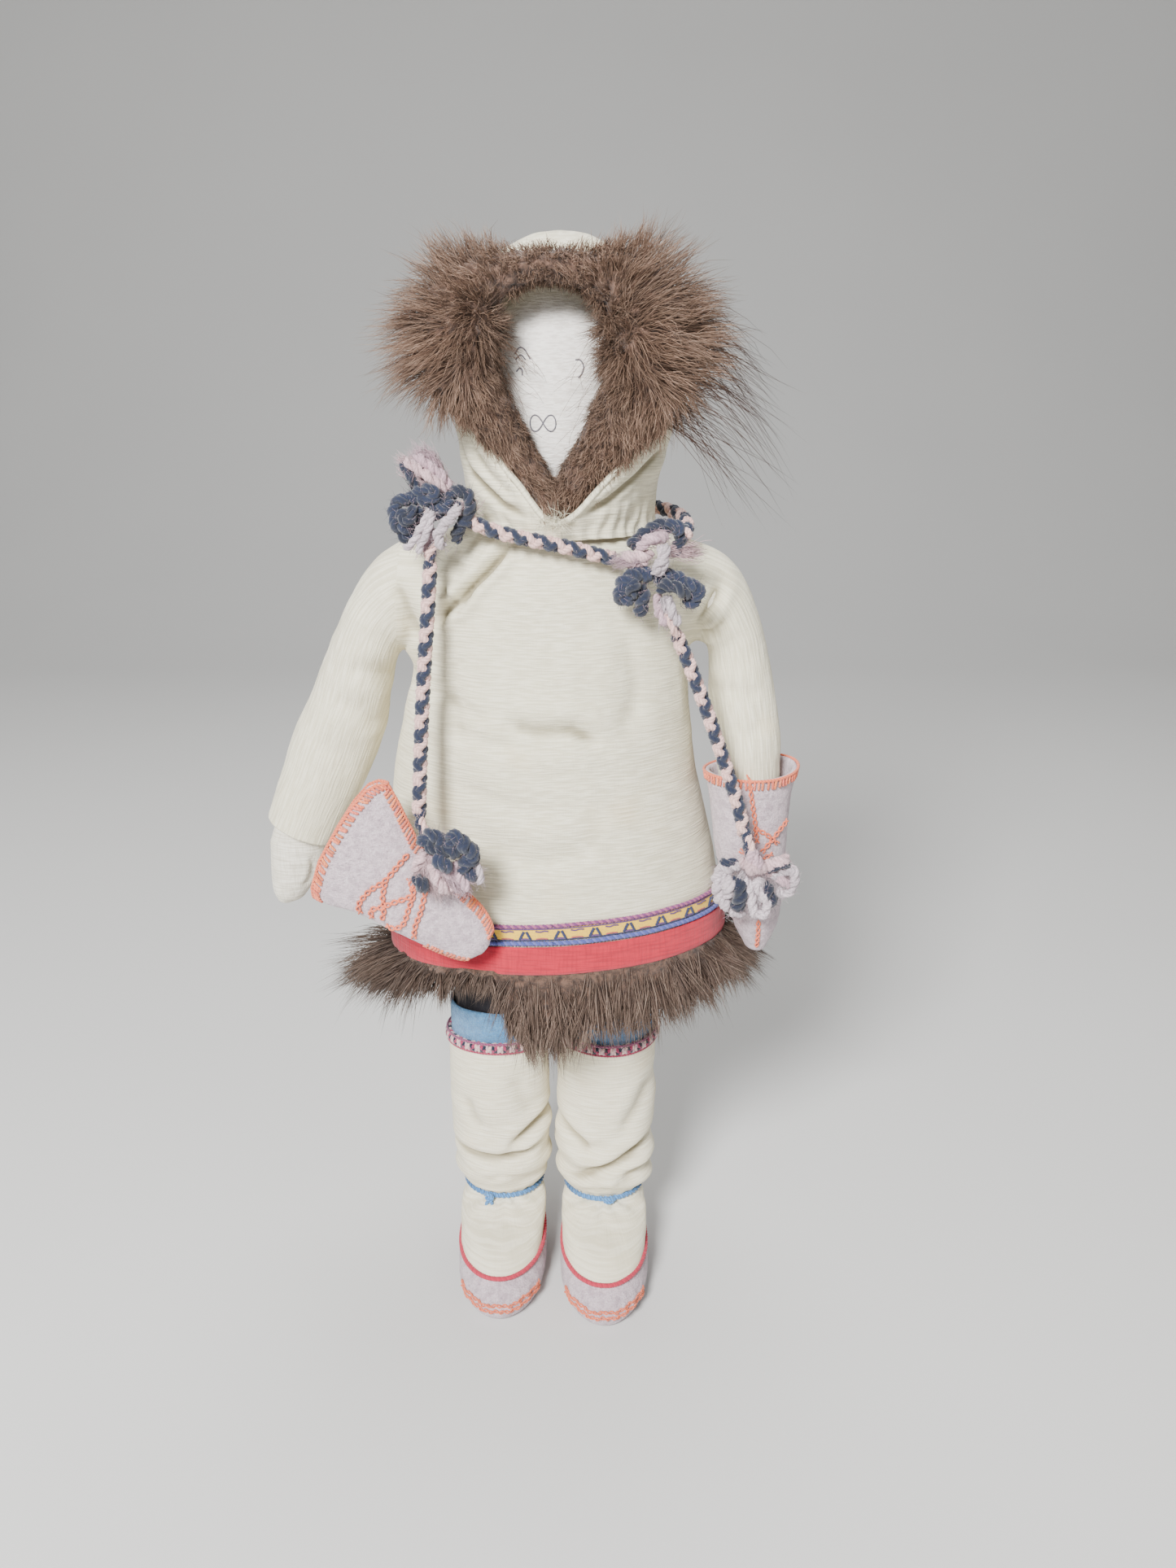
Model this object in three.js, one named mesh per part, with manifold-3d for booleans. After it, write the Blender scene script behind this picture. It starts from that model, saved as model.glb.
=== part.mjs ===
// A stuffed cloth doll in a hooded parka, fur trimmed, with felt boots and felt mittens on a braided yarn harness.
// Millimetres, +Z up, the doll faces -Y and its left side is +X. The soles stand on Z = 0.
// Every garment is a shell over the stuffed body, so the doll comes apart the way it was sewn.
import * as THREE from "three";
import { mergeVertices } from "three/addons/utils/BufferGeometryUtils.js";
import Module from "manifold-3d";

const wasm = await Module();
wasm.setup();

// ---- Driving dimensions -------------------------------------------------------------------------------------

const ORIGIN_X = 9.9; // moves the middle of the whole doll's box to X = 0
const ORIGIN_Y = 8.3; // moves the middle of the whole doll's box to Y = 0

const MUSLIN = 0.8; // body cloth
const CLOTH = 1.2; // garment cloth with its seam allowance
const FELT = 1.5; // mitten and boot felt
const GAP = 0.4; // air between one layer and the next
const LOOSE = 0.8; // air between a sleeve and the arm in it
const ROUND = 20; // segments round the body, head and hood
const LIMB_ROUND = 16; // segments round an arm, a leg or a boot
const CORD_SIDES = 8;
const CORD_RADIUS = 2.1;

const HIP_Z = 128;
const SHOULDER_Z = 240;
const ARMHOLE_X = 45; // the plane of each armhole; an arm turns beside it
const NECK_Z = 261.6; // the plane between the parka's neckline and the hood
const HEM_Z = 126;

// The parka's outer skin by height: half width, half depth, middle X.
const PARKA = [
  { z: HEM_Z, a: 54.5, b: 32, cx: 0 },
  { z: 150, a: 53, b: 31.5, cx: -1 },
  { z: 180, a: 48.5, b: 30, cx: -3.5 },
  { z: 200, a: 45, b: 28.5, cx: -3 },
  { z: 218, a: 43, b: 27.5, cx: -1.4 },
  { z: 240, a: 43.2, b: 26.5, cx: -1.2 },
  { z: 249, a: 41, b: 25.5, cx: -0.5 },
  { z: 255, a: 35, b: 24, cx: 0 },
  { z: 259.5, a: 27, b: 21, cx: 0 },
  { z: 261.2, a: 20, b: 16, cx: 0 },
];
const PARKA_Y = -2; // the garment hangs a little forward of the hips

// ---- Solids from rings --------------------------------------------------------------------------------------

const v3 = (x, y, z) => new THREE.Vector3(x, y, z);
const X_AXIS = v3(1, 0, 0);
const Y_AXIS = v3(0, 1, 0);

// An ellipse of points round centre, with half axes a along u and b along w. It turns about u cross w.
function ring(centre, a, b, u = X_AXIS, w = Y_AXIS, count = ROUND) {
  return Array.from({ length: count }, (_, i) => {
    const angle = (2 * Math.PI * i) / count;
    return centre.clone().addScaledVector(u, a * Math.cos(angle)).addScaledVector(w, b * Math.sin(angle));
  });
}

const level = (x, y, z, a, b, count) => ring(v3(x, y, z), a, b, X_AXIS, Y_AXIS, count);

// The same profile moved in by a distance square to its own slope. The first row keeps its height, as an open rim;
// the last one moves away from its closed end if closed is true.
function tuck(rows, by, closed) {
  return rows.map((row, i) => {
    const before = rows[Math.max(0, i - 1)];
    const after = rows[Math.min(rows.length - 1, i + 1)];
    const rise = after.z - before.z;
    const spread = after.a - before.a;
    const length = Math.hypot(rise, spread);
    const end = i === rows.length - 1;
    if (i === 0 || (end && !closed)) return { ...row, a: row.a - by, b: row.b - by };
    if (end) return { ...row, z: row.z - by * Math.sign(rise), a: row.a - by, b: row.b - by };
    const out = (by * Math.abs(rise)) / length;
    const up = (-by * spread * Math.sign(rise)) / length;
    return { ...row, z: row.z - up, a: row.a - out, b: row.b - out };
  });
}

// A ring across an arm or mitten, from its upper, outer edge to its lower, inner edge. side is +1 or -1 in X.
function across(side, [outX, outZ, inX, inZ, y, depth], inset) {
  const edge = v3(side * outX, y, outZ);
  const far = v3(side * inX, y, inZ);
  const u = edge.clone().sub(far);
  const half = u.length() / 2;
  const middle = edge.add(far).divideScalar(2);
  return ring(middle, half - inset, depth - inset, u.normalize(), v3(0, side, 0), LIMB_ROUND);
}

// Collects points and triangles, and closes them into one geometry that faces out.
class Weave {
  constructor() {
    this.points = [];
    this.faces = [];
  }
  add(points) {
    const start = this.points.length;
    this.points.push(...points);
    return start;
  }
  // The wall between two rows of count points; closed joins the last point to the first.
  wall(low, high, count, closed = true) {
    for (let i = 0; i < (closed ? count : count - 1); i++) {
      const j = (i + 1) % count;
      this.faces.push([low + i, low + j, high + j], [low + i, high + j, high + i]);
    }
  }
  cap(start, count, flip) {
    const middle = v3(0, 0, 0);
    for (let i = 0; i < count; i++) middle.add(this.points[start + i]);
    const centre = this.add([middle.divideScalar(count)]);
    for (let i = 0; i < count; i++) {
      const j = (i + 1) % count;
      this.faces.push(flip ? [centre, start + j, start + i] : [centre, start + i, start + j]);
    }
  }
  geometry() {
    let volume = 0;
    for (const [i, j, k] of this.faces) {
      volume += this.points[i].dot(this.points[j].clone().cross(this.points[k]));
    }
    const index = volume < 0 ? this.faces.map(([i, j, k]) => [i, k, j]) : this.faces;
    const made = new THREE.BufferGeometry().setFromPoints(this.points);
    return made.setIndex(index.flat());
  }
}

// A solid through a row of rings, closed at both ends.
function loft(rings) {
  const weave = new Weave();
  const starts = rings.map((r) => weave.add(r));
  const count = rings[0].length;
  for (let i = 1; i < starts.length; i++) weave.wall(starts[i - 1], starts[i], count);
  weave.cap(starts[0], count, true);
  weave.cap(starts.at(-1), count, false);
  return weave.geometry();
}

// A cloth skin between outer and inner rings, open at its first ring. openEnd leaves the last one open too.
function skin(outer, inner, openEnd = false) {
  const weave = new Weave();
  const count = outer[0].length;
  const out = outer.map((r) => weave.add(r));
  const back = inner.map((r) => weave.add(r));
  for (let i = 1; i < out.length; i++) weave.wall(out[i - 1], out[i], count);
  for (let i = 1; i < back.length; i++) weave.wall(back[i], back[i - 1], count);
  weave.wall(back[0], out[0], count);
  if (openEnd) {
    weave.wall(out.at(-1), back.at(-1), count);
  } else {
    weave.cap(out.at(-1), count, false);
    weave.cap(back.at(-1), count, true);
  }
  return weave.geometry();
}

// Sections swept one after the other; loop joins the last to the first, otherwise both ends are capped.
function sweep(sections, loop) {
  const weave = new Weave();
  const starts = sections.map((s) => weave.add(s));
  const count = sections[0].length;
  for (let i = 1; i < starts.length; i++) weave.wall(starts[i - 1], starts[i], count);
  if (loop) {
    weave.wall(starts.at(-1), starts[0], count);
  } else {
    weave.cap(starts[0], count, true);
    weave.cap(starts.at(-1), count, false);
  }
  return weave.geometry();
}

// A hoop of oval section round an ellipse in a level plane.
function hoop(x, y, z, a, b, halfWidth, halfHeight, count = ROUND, sides = 6) {
  const sections = Array.from({ length: count }, (_, i) => {
    const angle = (2 * Math.PI * i) / count;
    return Array.from({ length: sides }, (_, k) => {
      const turn = (2 * Math.PI * k) / sides;
      const out = halfWidth * Math.cos(turn);
      return v3(x + (a + out) * Math.cos(angle), y + (b + out) * Math.sin(angle), z + halfHeight * Math.sin(turn));
    });
  });
  return sweep(sections, true);
}

// A round cord through points chosen by hand.
function cord(points, radius, steps) {
  const section = new THREE.Shape(
    Array.from({ length: CORD_SIDES }, (_, i) => {
      const angle = (2 * Math.PI * i) / CORD_SIDES;
      return new THREE.Vector2(radius * Math.cos(angle), radius * Math.sin(angle));
    }),
  );
  const path = new THREE.CatmullRomCurve3(points.map((p) => v3(...p)));
  return new THREE.ExtrudeGeometry(section, { steps, bevelEnabled: false, extrudePath: path });
}

const ball = (x, y, z, rx, ry, rz) =>
  new THREE.SphereGeometry(1, 14, 10).scale(rx, ry, rz).translate(x, y, z);

function toSolid(geometry) {
  const bare = geometry.clone();
  bare.deleteAttribute("normal");
  bare.deleteAttribute("uv");
  const merged = mergeVertices(bare, 1e-3);
  return new wasm.Manifold(
    new wasm.Mesh({
      numProp: 3,
      vertProperties: new Float32Array(merged.attributes.position.array),
      triVerts: new Uint32Array(merged.index.array),
    }),
  );
}

function fromSolid(solid) {
  const { vertProperties, triVerts } = solid.getMesh();
  const geometry = new THREE.BufferGeometry();
  geometry.setAttribute("position", new THREE.BufferAttribute(new Float32Array(vertProperties), 3));
  return geometry.setIndex(new THREE.BufferAttribute(new Uint32Array(triVerts), 1));
}

// ---- Materials ----------------------------------------------------------------------------------------------

const fabric = (color, roughness = 0.9) => new THREE.MeshStandardMaterial({ color, roughness, metalness: 0 });
const materials = {
  muslin: fabric(0xdedacb),
  stuffing: fabric(0xf0eee6, 1),
  parkaCotton: fabric(0xd6d5c2),
  redCotton: fabric(0xc43e4c),
  blueCord: fabric(0x4a4fa0),
  yellowRibbon: fabric(0xd9ae3c, 0.6),
  purpleCord: fabric(0x7c3c7a),
  fur: fabric(0x6e5a4e, 0.8),
  yarn: fabric(0x37466b),
  blackCotton: fabric(0x1d1c21),
  blueFelt: fabric(0x4f86ad),
  bootCotton: fabric(0xe2dccb),
  tieYarn: fabric(0x3b79b8),
  lilacFelt: fabric(0xcdbfcb),
  redPiping: fabric(0xb8384c),
  orangeThread: fabric(0xe2744a),
};

const doll = new THREE.Group();

function piece(name, geometry, material) {
  const mesh = new THREE.Mesh(geometry, material);
  mesh.name = name;
  doll.add(mesh);
}

// ---- Torso and parka ----------------------------------------------------------------------------------------

const TORSO = [
  { z: 260.9, a: 12.5, b: 11.5 },
  { z: 255, a: 14, b: 12.5 },
  { z: 249, a: 28, b: 16 },
  { z: 238, a: 38, b: 19 },
  { z: 215, a: 38.5, b: 22 },
  { z: 180, a: 39, b: 23 },
  { z: 155, a: 37, b: 22 },
  { z: 143, a: 30, b: 17 },
];

const torsoRings = (inset) =>
  tuck(TORSO, inset, true).map(({ z, a, b }) => level(-1, PARKA_Y / 2, z, a, b));
const torsoFill = [level(-1, PARKA_Y / 2, 260, 10.6, 9.6), ...torsoRings(MUSLIN + 2 * GAP).slice(1)];
piece("torso_cover", skin(torsoRings(0), torsoRings(MUSLIN)), materials.muslin);
piece("torso_stuffing", loft(torsoFill), materials.stuffing);

// The parka's outline at a height, found between its named sections.
function parkaAt(z) {
  const i = Math.max(1, PARKA.findIndex((p) => p.z >= z));
  const [low, high] = [PARKA[i - 1], PARKA[i]];
  const t = (z - low.z) / (high.z - low.z);
  const mix = (key) => THREE.MathUtils.lerp(low[key], high[key], t);
  return { a: mix("a"), b: mix("b"), cx: mix("cx") };
}

const parkaRing = ({ z, a, b, cx }, out = 0) => level(cx, PARKA_Y, z, a + out, b + out);
const parkaSkin = PARKA.map((row) => parkaRing(row));
const parkaLining = tuck(PARKA, CLOTH, false).map((row) => parkaRing(row));
piece("parka_body", skin(parkaSkin, parkaLining, true), materials.parkaCotton);

// A band of cloth or ribbon sewn round the outside of the skirt.
function hemBand(low, high, thickness) {
  const rings = (out) => [low, high].map((z) => parkaRing({ z, ...parkaAt(z) }, out));
  return skin(rings(GAP + thickness), rings(GAP), true);
}

function hemCord(z, radius) {
  const { a, b, cx } = parkaAt(z);
  const out = GAP + radius;
  return hoop(cx, PARKA_Y, z, a + out, b + out, radius, radius);
}

piece("hem_band_red", hemBand(HEM_Z, 135.1, 1), materials.redCotton);
piece("hem_cord_blue", hemCord(136.3, 0.8), materials.blueCord);
piece("hem_ribbon_yellow", hemBand(137.5, 141.2, 0.6), materials.yellowRibbon);
piece("hem_cord_purple", hemCord(142.4, 0.7), materials.purpleCord);

// Half of the fur strip under the hem: it is sewn inside the skirt and flares out below it.
const FUR_HANG = [
  { z: 124.8, near: -3, far: 1.5 },
  { z: 112, near: -3.5, far: 3.5 },
  { z: 99, near: -2, far: 3 },
];

function furHalf(side) {
  const half = ROUND / 2;
  const sections = Array.from({ length: half + 1 }, (_, i) => {
    const angle = side * (-Math.PI / 2 + 0.02 + ((Math.PI - 0.04) * i) / half);
    const at = (out, z) =>
      v3(side * (54.5 + out) * Math.abs(Math.cos(angle)), PARKA_Y + (32 + out) * Math.sin(angle), z);
    const outside = FUR_HANG.map(({ z, far }) => at(far, z));
    const inside = FUR_HANG.map(({ z, near }) => at(near, z)).reverse();
    return [...outside, ...inside];
  });
  return sweep(sections, false);
}

piece("skirt_fur_right", furHalf(-1), materials.fur);
piece("skirt_fur_left", furHalf(1), materials.fur);

// ---- Head and hood ------------------------------------------------------------------------------------------

const HEAD = [
  { z: 262.2, y: -2, a: 13, b: 12 },
  { z: 268, y: -4, a: 18, b: 17 },
  { z: 282, y: -5, a: 22.5, b: 20 },
  { z: 300, y: -5, a: 24, b: 21 },
  { z: 314, y: -5, a: 21, b: 18.5 },
  { z: 323, y: -5, a: 13, b: 12 },
  { z: 326.5, y: -5, a: 4, b: 4 },
];
const headRings = (inset) => tuck(HEAD, inset, true).map(({ z, y, a, b }) => level(1, y, z, a, b));
const headFill = [level(1, -2, 262.9, 11.4, 10.4), ...headRings(MUSLIN + GAP + 0.1).slice(1)];
piece("head_cover", skin(headRings(0), headRings(MUSLIN)), materials.muslin);
piece("head_stuffing", loft(headFill), materials.stuffing);

const HOOD = [
  { z: NECK_Z + 0.5, y: -3, a: 27, b: 24 },
  { z: 272, y: -3.5, a: 28.5, b: 25 },
  { z: 290, y: -4, a: 30, b: 26 },
  { z: 306, y: -4, a: 30, b: 26 },
  { z: 320, y: -4, a: 26, b: 23 },
  { z: 330, y: -4, a: 18, b: 16 },
  { z: 336, y: -4, a: 7, b: 7 },
];
const hoodRings = (inset) => tuck(HOOD, inset, true).map(({ z, y, a, b }) => level(2, y, z, a, b));
const hoodShell = skin(hoodRings(0), hoodRings(CLOTH));

// The face shows through a tall oval that narrows to the chin.
const FACE = { x: 1, z: 297, halfWidth: 12, halfHeight: 26 };
const faceWindow = ring(v3(FACE.x, -60, FACE.z), FACE.halfWidth, FACE.halfHeight, X_AXIS, v3(0, 0, 1));
const faceCutter = loft([faceWindow, faceWindow.map((p) => v3(p.x, -10, p.z))]);
piece("hood", fromSolid(toSolid(hoodShell).subtract(toSolid(faceCutter))), materials.parkaCotton);

// The fur ruff: a strip round the face window, full at the cheeks and crown and thin at the chin.
const RUFF = [
  { x: 1, z: 267, wide: 4, deep: 4 },
  { x: -8, z: 277, wide: 5, deep: 4.5 },
  { x: -16, z: 290, wide: 8, deep: 6 },
  { x: -23, z: 304, wide: 13, deep: 9 },
  { x: -22, z: 320, wide: 13, deep: 9 },
  { x: -9, z: 329, wide: 9, deep: 8 },
  { x: 7, z: 330, wide: 9, deep: 8 },
  { x: 24, z: 322, wide: 13, deep: 9 },
  { x: 28, z: 305, wide: 15, deep: 9 },
  { x: 20, z: 290, wide: 9, deep: 6 },
  { x: 10, z: 277, wide: 5, deep: 4.5 },
];
const RUFF_Y = -31;

function ruff() {
  const middle = v3(FACE.x, 0, FACE.z);
  const sections = RUFF.map(({ x, z, wide, deep }) => {
    const out = v3(x, 0, z).sub(middle).normalize();
    return ring(v3(x, RUFF_Y, z), wide, deep, out, Y_AXIS, 10);
  });
  const fur = toSolid(sweep(sections, true));
  const hoodEnvelope = toSolid(loft(hoodRings(-GAP)));
  return fromSolid(fur.subtract(hoodEnvelope));
}
piece("hood_ruff", ruff(), materials.fur);

// ---- Arms ---------------------------------------------------------------------------------------------------

// Each row is a ring across the arm: outer edge X and Z, inner edge X and Z, Y, half depth.
const RIGHT_SLEEVE = [
  [45.4, 254, 45.4, 222.5, 0, 15],
  [54, 248.5, 48, 220, 0, 14.8],
  [62.5, 237.5, 50, 215, 0, 14.4],
  [71, 220, 51.5, 206.5, 0, 14],
  [77.5, 206, 54, 195, -1, 13.4],
  [85, 189, 61, 178, -3, 12],
  [92.5, 168, 72, 158, -5, 10],
];
const RIGHT_HAND = [
  [92.4, 162, 75, 154.5, -5, 6.8],
  [93, 152, 78, 147, -5, 6.2],
  [93.4, 143, 83, 139.5, -5, 5.4],
  [92, 138, 88, 136.8, -5, 2.4],
];
const LEFT_SLEEVE = [
  [45.4, 252.5, 45.4, 223.5, 0, 15],
  [54, 247.5, 47, 220.5, -0.5, 13.8],
  [61.5, 235, 47.4, 215, -1.5, 12.6],
  [66.5, 216, 47.6, 205, -4.5, 11.4],
  [69, 200, 48.4, 195, -9.5, 9.8],
  [69.4, 189, 49.6, 187.5, -13.2, 8.8],
  [69.6, 180, 51, 178.5, -14, 8.2],
];
const LEFT_HAND = [
  [68.6, 170, 53, 168.4, -14, 6.6],
  [69.4, 157, 55.2, 156, -14.8, 6.4],
  [69, 145, 57.6, 144.4, -15.4, 6],
  [66, 136, 61.4, 135.8, -15.8, 2.6],
];

function arm(label, side, sleeve, hand) {
  const rings = (rows, inset) => rows.map((row) => across(side, row, inset));
  const lining = CLOTH + LOOSE;
  const fill = lining + MUSLIN + LOOSE;
  const tip = rings(hand.slice(-1), 0.6)[0].map((p) => p.add(v3(0, 0, 0.9)));
  piece(`${label}_sleeve`, skin(rings(sleeve, 0), rings(sleeve, CLOTH), true), materials.parkaCotton);
  piece(
    `${label}_arm_cover`,
    skin(
      [...rings(sleeve, lining), ...rings(hand, 0)],
      [...rings(sleeve, lining + MUSLIN), ...rings(hand.slice(0, -1), MUSLIN), tip],
    ),
    materials.muslin,
  );
  piece(
    `${label}_arm_stuffing`,
    loft([...rings(sleeve, fill), ...rings(hand.slice(0, -1), MUSLIN + LOOSE)]),
    materials.stuffing,
  );
}

arm("right", -1, RIGHT_SLEEVE, RIGHT_HAND);
arm("left", 1, LEFT_SLEEVE, LEFT_HAND);

// ---- Mittens ------------------------------------------------------------------------------------------------

// The left mitten is on the hand: a felt pouch from cuff to tip, in rows like the sleeve's.
const LEFT_MITTEN = [
  [73.6, 187, 47, 185, -14, 12.2],
  [72.6, 172, 48.4, 171, -14.4, 11.4],
  [72, 152, 51.8, 152, -15.2, 11],
  [71, 137, 56, 137, -15.8, 9.6],
  [67.4, 127, 60.6, 127, -16, 5],
];

function wornMitten() {
  const rings = (inset) => LEFT_MITTEN.map((row) => across(1, row, inset));
  const tip = across(1, [66.4, 129, 61.4, 129, -16, 3.6], 0);
  return skin(rings(0), [...rings(FELT).slice(0, -1), tip]);
}
piece("left_mitten", wornMitten(), materials.lilacFelt);
piece("left_mitten_tassel", ball(60.5, -32.6, 154, 13.5, 4.6, 15), materials.yarn);

// The right mitten hangs empty, flat against the skirt, its cuff up and away from the middle.
const MITTEN_Y = -39.5;
const MITTEN_MIDDLE = v3(-60.5, MITTEN_Y, 172);
const MITTEN_SLOPE = 39; // how far the mitten's length points below the horizontal
// Along the mitten from its cuff, sideways offset of its middle, half width, half thickness.
const RIGHT_MITTEN = [
  [0, 0, 19, 4.9],
  [14, -0.5, 16, 4.9],
  [27, -0.5, 13.6, 4.6],
  [38, 0, 12.4, 4.2],
  [48, 0, 9.6, 3.6],
  [53, 0, 4, 2],
];

function hangingMitten() {
  const s = THREE.MathUtils.degToRad(MITTEN_SLOPE);
  const along = v3(Math.cos(s), 0, -Math.sin(s));
  const wide = v3(Math.sin(s), 0, Math.cos(s));
  const rings = (rows, inset) =>
    rows.map(([l, shift, a, b]) => {
      const centre = MITTEN_MIDDLE.clone().addScaledVector(along, l).addScaledVector(wide, shift);
      return ring(centre, a - inset, b - inset, wide, Y_AXIS);
    });
  return skin(rings(RIGHT_MITTEN, 0), rings([...RIGHT_MITTEN.slice(0, -1), [50.5, 0, 5, 3]], FELT));
}
piece("right_mitten", hangingMitten(), materials.lilacFelt);
piece("right_mitten_tassel", ball(-31, MITTEN_Y - 9.2, 168, 11.5, 4, 11), materials.yarn);

// ---- Braided harness ----------------------------------------------------------------------------------------

const NECK_FRONT = [
  [-23.5, -27.5, 263],
  [-16, -29.6, 260.2],
  [-6, -31.2, 258],
  [4, -31.2, 256],
  [13, -30, 253.6],
  [17, -28.8, 252.6],
];
const NECK_BACK = [
  [-38, -13.5, 261],
  [-37, -4, 261.5],
  [-32, 9, 262],
  [-22, 20.5, 262.6],
  [-8, 26.5, 262.8],
  [10, 26.5, 262.8],
  [24, 20.5, 262.4],
  [35, 8, 261.6],
  [39, -4, 259.5],
  [38, -14.5, 256.5],
];
const RIGHT_DROP = [
  [-34, -28.5, 251.5],
  [-35, -31, 238],
  [-36.6, -33.6, 220],
  [-37.8, -36.8, 202],
  [-38.4, -39.4, 189],
  [-38.8, -40.6, 180],
];
const LEFT_DROP = [
  [35, -29, 231.5],
  [40, -29.5, 220],
  [45.5, -29.5, 206],
  [50.5, -30.2, 192],
  [54.5, -32.4, 180],
  [56.5, -34.2, 171.5],
];
piece("neck_cord_front", cord(NECK_FRONT, CORD_RADIUS, 14), materials.yarn);
piece("neck_cord_back", cord(NECK_BACK, CORD_RADIUS, 26), materials.yarn);
piece("right_drop_cord", cord(RIGHT_DROP, CORD_RADIUS, 22), materials.yarn);
piece("left_drop_cord", cord(LEFT_DROP, CORD_RADIUS, 18), materials.yarn);
piece("right_shoulder_tassel", ball(-34, -25, 267.5, 9.6, 9, 13), materials.yarn);
piece("left_shoulder_tassel", ball(30, -31, 246.5, 12, 6.4, 13.4), materials.yarn);

// ---- Legs and boots -----------------------------------------------------------------------------------------

const FOOT = { halfWidth: 14.5, halfLength: 29.5, soleTop: 12 };

// A foot outline: an oval, wider at the toes than at the heel.
function footRing(x, y, z, a, b) {
  return level(x, y, z, a, b, LIMB_ROUND).map((p) => {
    const toeward = (y - p.y) / b; // -1 at the heel, 1 at the toe
    return v3(x + (p.x - x) * (1 + 0.1 * toeward), p.y, p.z);
  });
}

function leg(label, hipX, footX, footY) {
  const xAt = (z) => THREE.MathUtils.lerp(footX, hipX, z / HIP_Z);
  const yAt = (z) => THREE.MathUtils.lerp(footY, 0, Math.min(1, z / 60));
  const at = (z, a, b) => level(xAt(z), yAt(z), z, a, b, LIMB_ROUND);
  const forward = (y, z, a, b, slope) => {
    const s = THREE.MathUtils.degToRad(slope);
    const w = v3(0, Math.cos(s), Math.sin(s) * -1);
    return ring(v3(footX, footY + y, z), a, b, X_AXIS, w, LIMB_ROUND);
  };
  // From the hip down the leg, round the ankle and out to the toes.
  const limb = (inset, top, toe) => [
    at(top, 7 - inset, 5 - inset),
    at(134.5, 10.5 - inset, 9 - inset),
    at(HIP_Z, 12.2 - inset, 10.2 - inset),
    at(80, 12.2 - inset, 10.2 - inset),
    at(40, 11.6 - inset, 9.8 - inset),
    at(24, 10 - inset, 8.6 - inset),
    forward(-3, 15.5, 9.6 - inset, 8.4 - inset, 35),
    forward(-15, 9.6, 9.6 - inset, 6.4 - inset, 75),
    forward(-29, 7.9, 8 - inset, 4.4 - inset, 88),
    forward(toe, 7.6, 3.6 - inset, 2.4 - inset * 0.6, 90),
  ];
  piece(`${label}_leg_cover`, skin(limb(0, 138.4, -37), limb(MUSLIN, 138.4, -35.6)), materials.muslin);
  piece(`${label}_leg_stuffing`, loft(limb(MUSLIN + GAP + 0.1, 137.6, -34.8)), materials.stuffing);

  const sleeve = (rows, thickness) =>
    skin(
      rows.map(([z, a, b]) => at(z, a, b)),
      rows.map(([z, a, b]) => at(z, a - thickness, b - thickness)),
      true,
    );
  piece(`${label}_trouser_leg`, sleeve([[84, 13.7, 11.7], [128, 13.7, 11.7]], 1), materials.blackCotton);
  piece(`${label}_boot_liner`, sleeve([[66, 15.2, 13.1], [99, 15.2, 13.1]], 1), materials.blueFelt);
  piece(
    `${label}_boot_shaft`,
    sleeve(
      [
        [26.4, 13.2, 11.4],
        [29.5, 16.2, 14.4],
        [42, 16.9, 15],
        [60, 17.2, 15],
        [84.4, 17, 14.8],
      ],
      CLOTH,
    ),
    materials.bootCotton,
  );
  piece(`${label}_boot_braid`, hoop(xAt(86.8), 0, 86.8, 17, 14.9, 1.3, 1.9, LIMB_ROUND), materials.yarn);
  piece(`${label}_ankle_tie`, hoop(xAt(25.2), yAt(25.2), 25.2, 12.6, 10.8, 0.9, 0.9, LIMB_ROUND), materials.tieYarn);

  const heelY = footY - 15.5;
  const upper = [
    [23.6, yAt(25), 12.6, 10.8],
    [21, footY - 2.5, 14, 14.5],
    [17.5, footY - 8.5, 14.2, 21],
    [13.6, footY - 12.8, 13.6, 25.4],
  ];
  const vamp = (inset) => upper.map(([z, y, a, b]) => footRing(footX, y, z, a - inset, b - inset));
  piece(`${label}_boot_vamp`, skin(vamp(0), vamp(CLOTH), true), materials.bootCotton);
  piece(`${label}_vamp_piping`, vampPiping(footX, footY - 12.8), materials.redPiping);

  const tray = (inset, floor) => [
    footRing(footX, footY - 12.8, FOOT.soleTop, 13.8 - inset, 25.8 - inset),
    footRing(footX, heelY, 6, FOOT.halfWidth + 0.4 - inset, FOOT.halfLength - inset),
    footRing(footX, heelY, floor, FOOT.halfWidth - 2 - inset, FOOT.halfLength - 2 - inset),
  ];
  piece(`${label}_boot_sole`, skin(tray(0, 0), tray(FELT, 1.5)), materials.lilacFelt);
  piece(`${label}_toe_stitching`, toeStitching(footX, heelY), materials.orangeThread);
}

// Piping along the seam between vamp and felt.
function vampPiping(x, y) {
  const rim = footRing(x, y, FOOT.soleTop + 0.8, 13.7, 25.6);
  const centre = v3(x, y, FOOT.soleTop + 0.8);
  const sections = rim.map((point) => {
    const out = point.clone().sub(centre).normalize();
    return Array.from({ length: 6 }, (_, k) => {
      const turn = (2 * Math.PI * k) / 6;
      return point.clone().addScaledVector(out, 0.6 * Math.cos(turn)).add(v3(0, 0, 0.45 * Math.sin(turn)));
    });
  });
  return sweep(sections, true);
}

// A row of stitches low across the toe.
function toeStitching(x, y) {
  const points = [-50, -30, -10, 10, 30, 50].map((degrees) => {
    const angle = THREE.MathUtils.degToRad(degrees - 90);
    const wide = (FOOT.halfWidth + 1.6) * (1 - 0.1 * Math.sin(angle));
    return [x + wide * Math.cos(angle), y + (FOOT.halfLength + 1.4) * Math.sin(angle), 6];
  });
  return cord(points, 0.7, 14);
}

leg("right", -22, -20, 0);
leg("left", 17, 15.5, -3);

doll.position.set(ORIGIN_X, ORIGIN_Y, 0);
export default doll;
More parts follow.
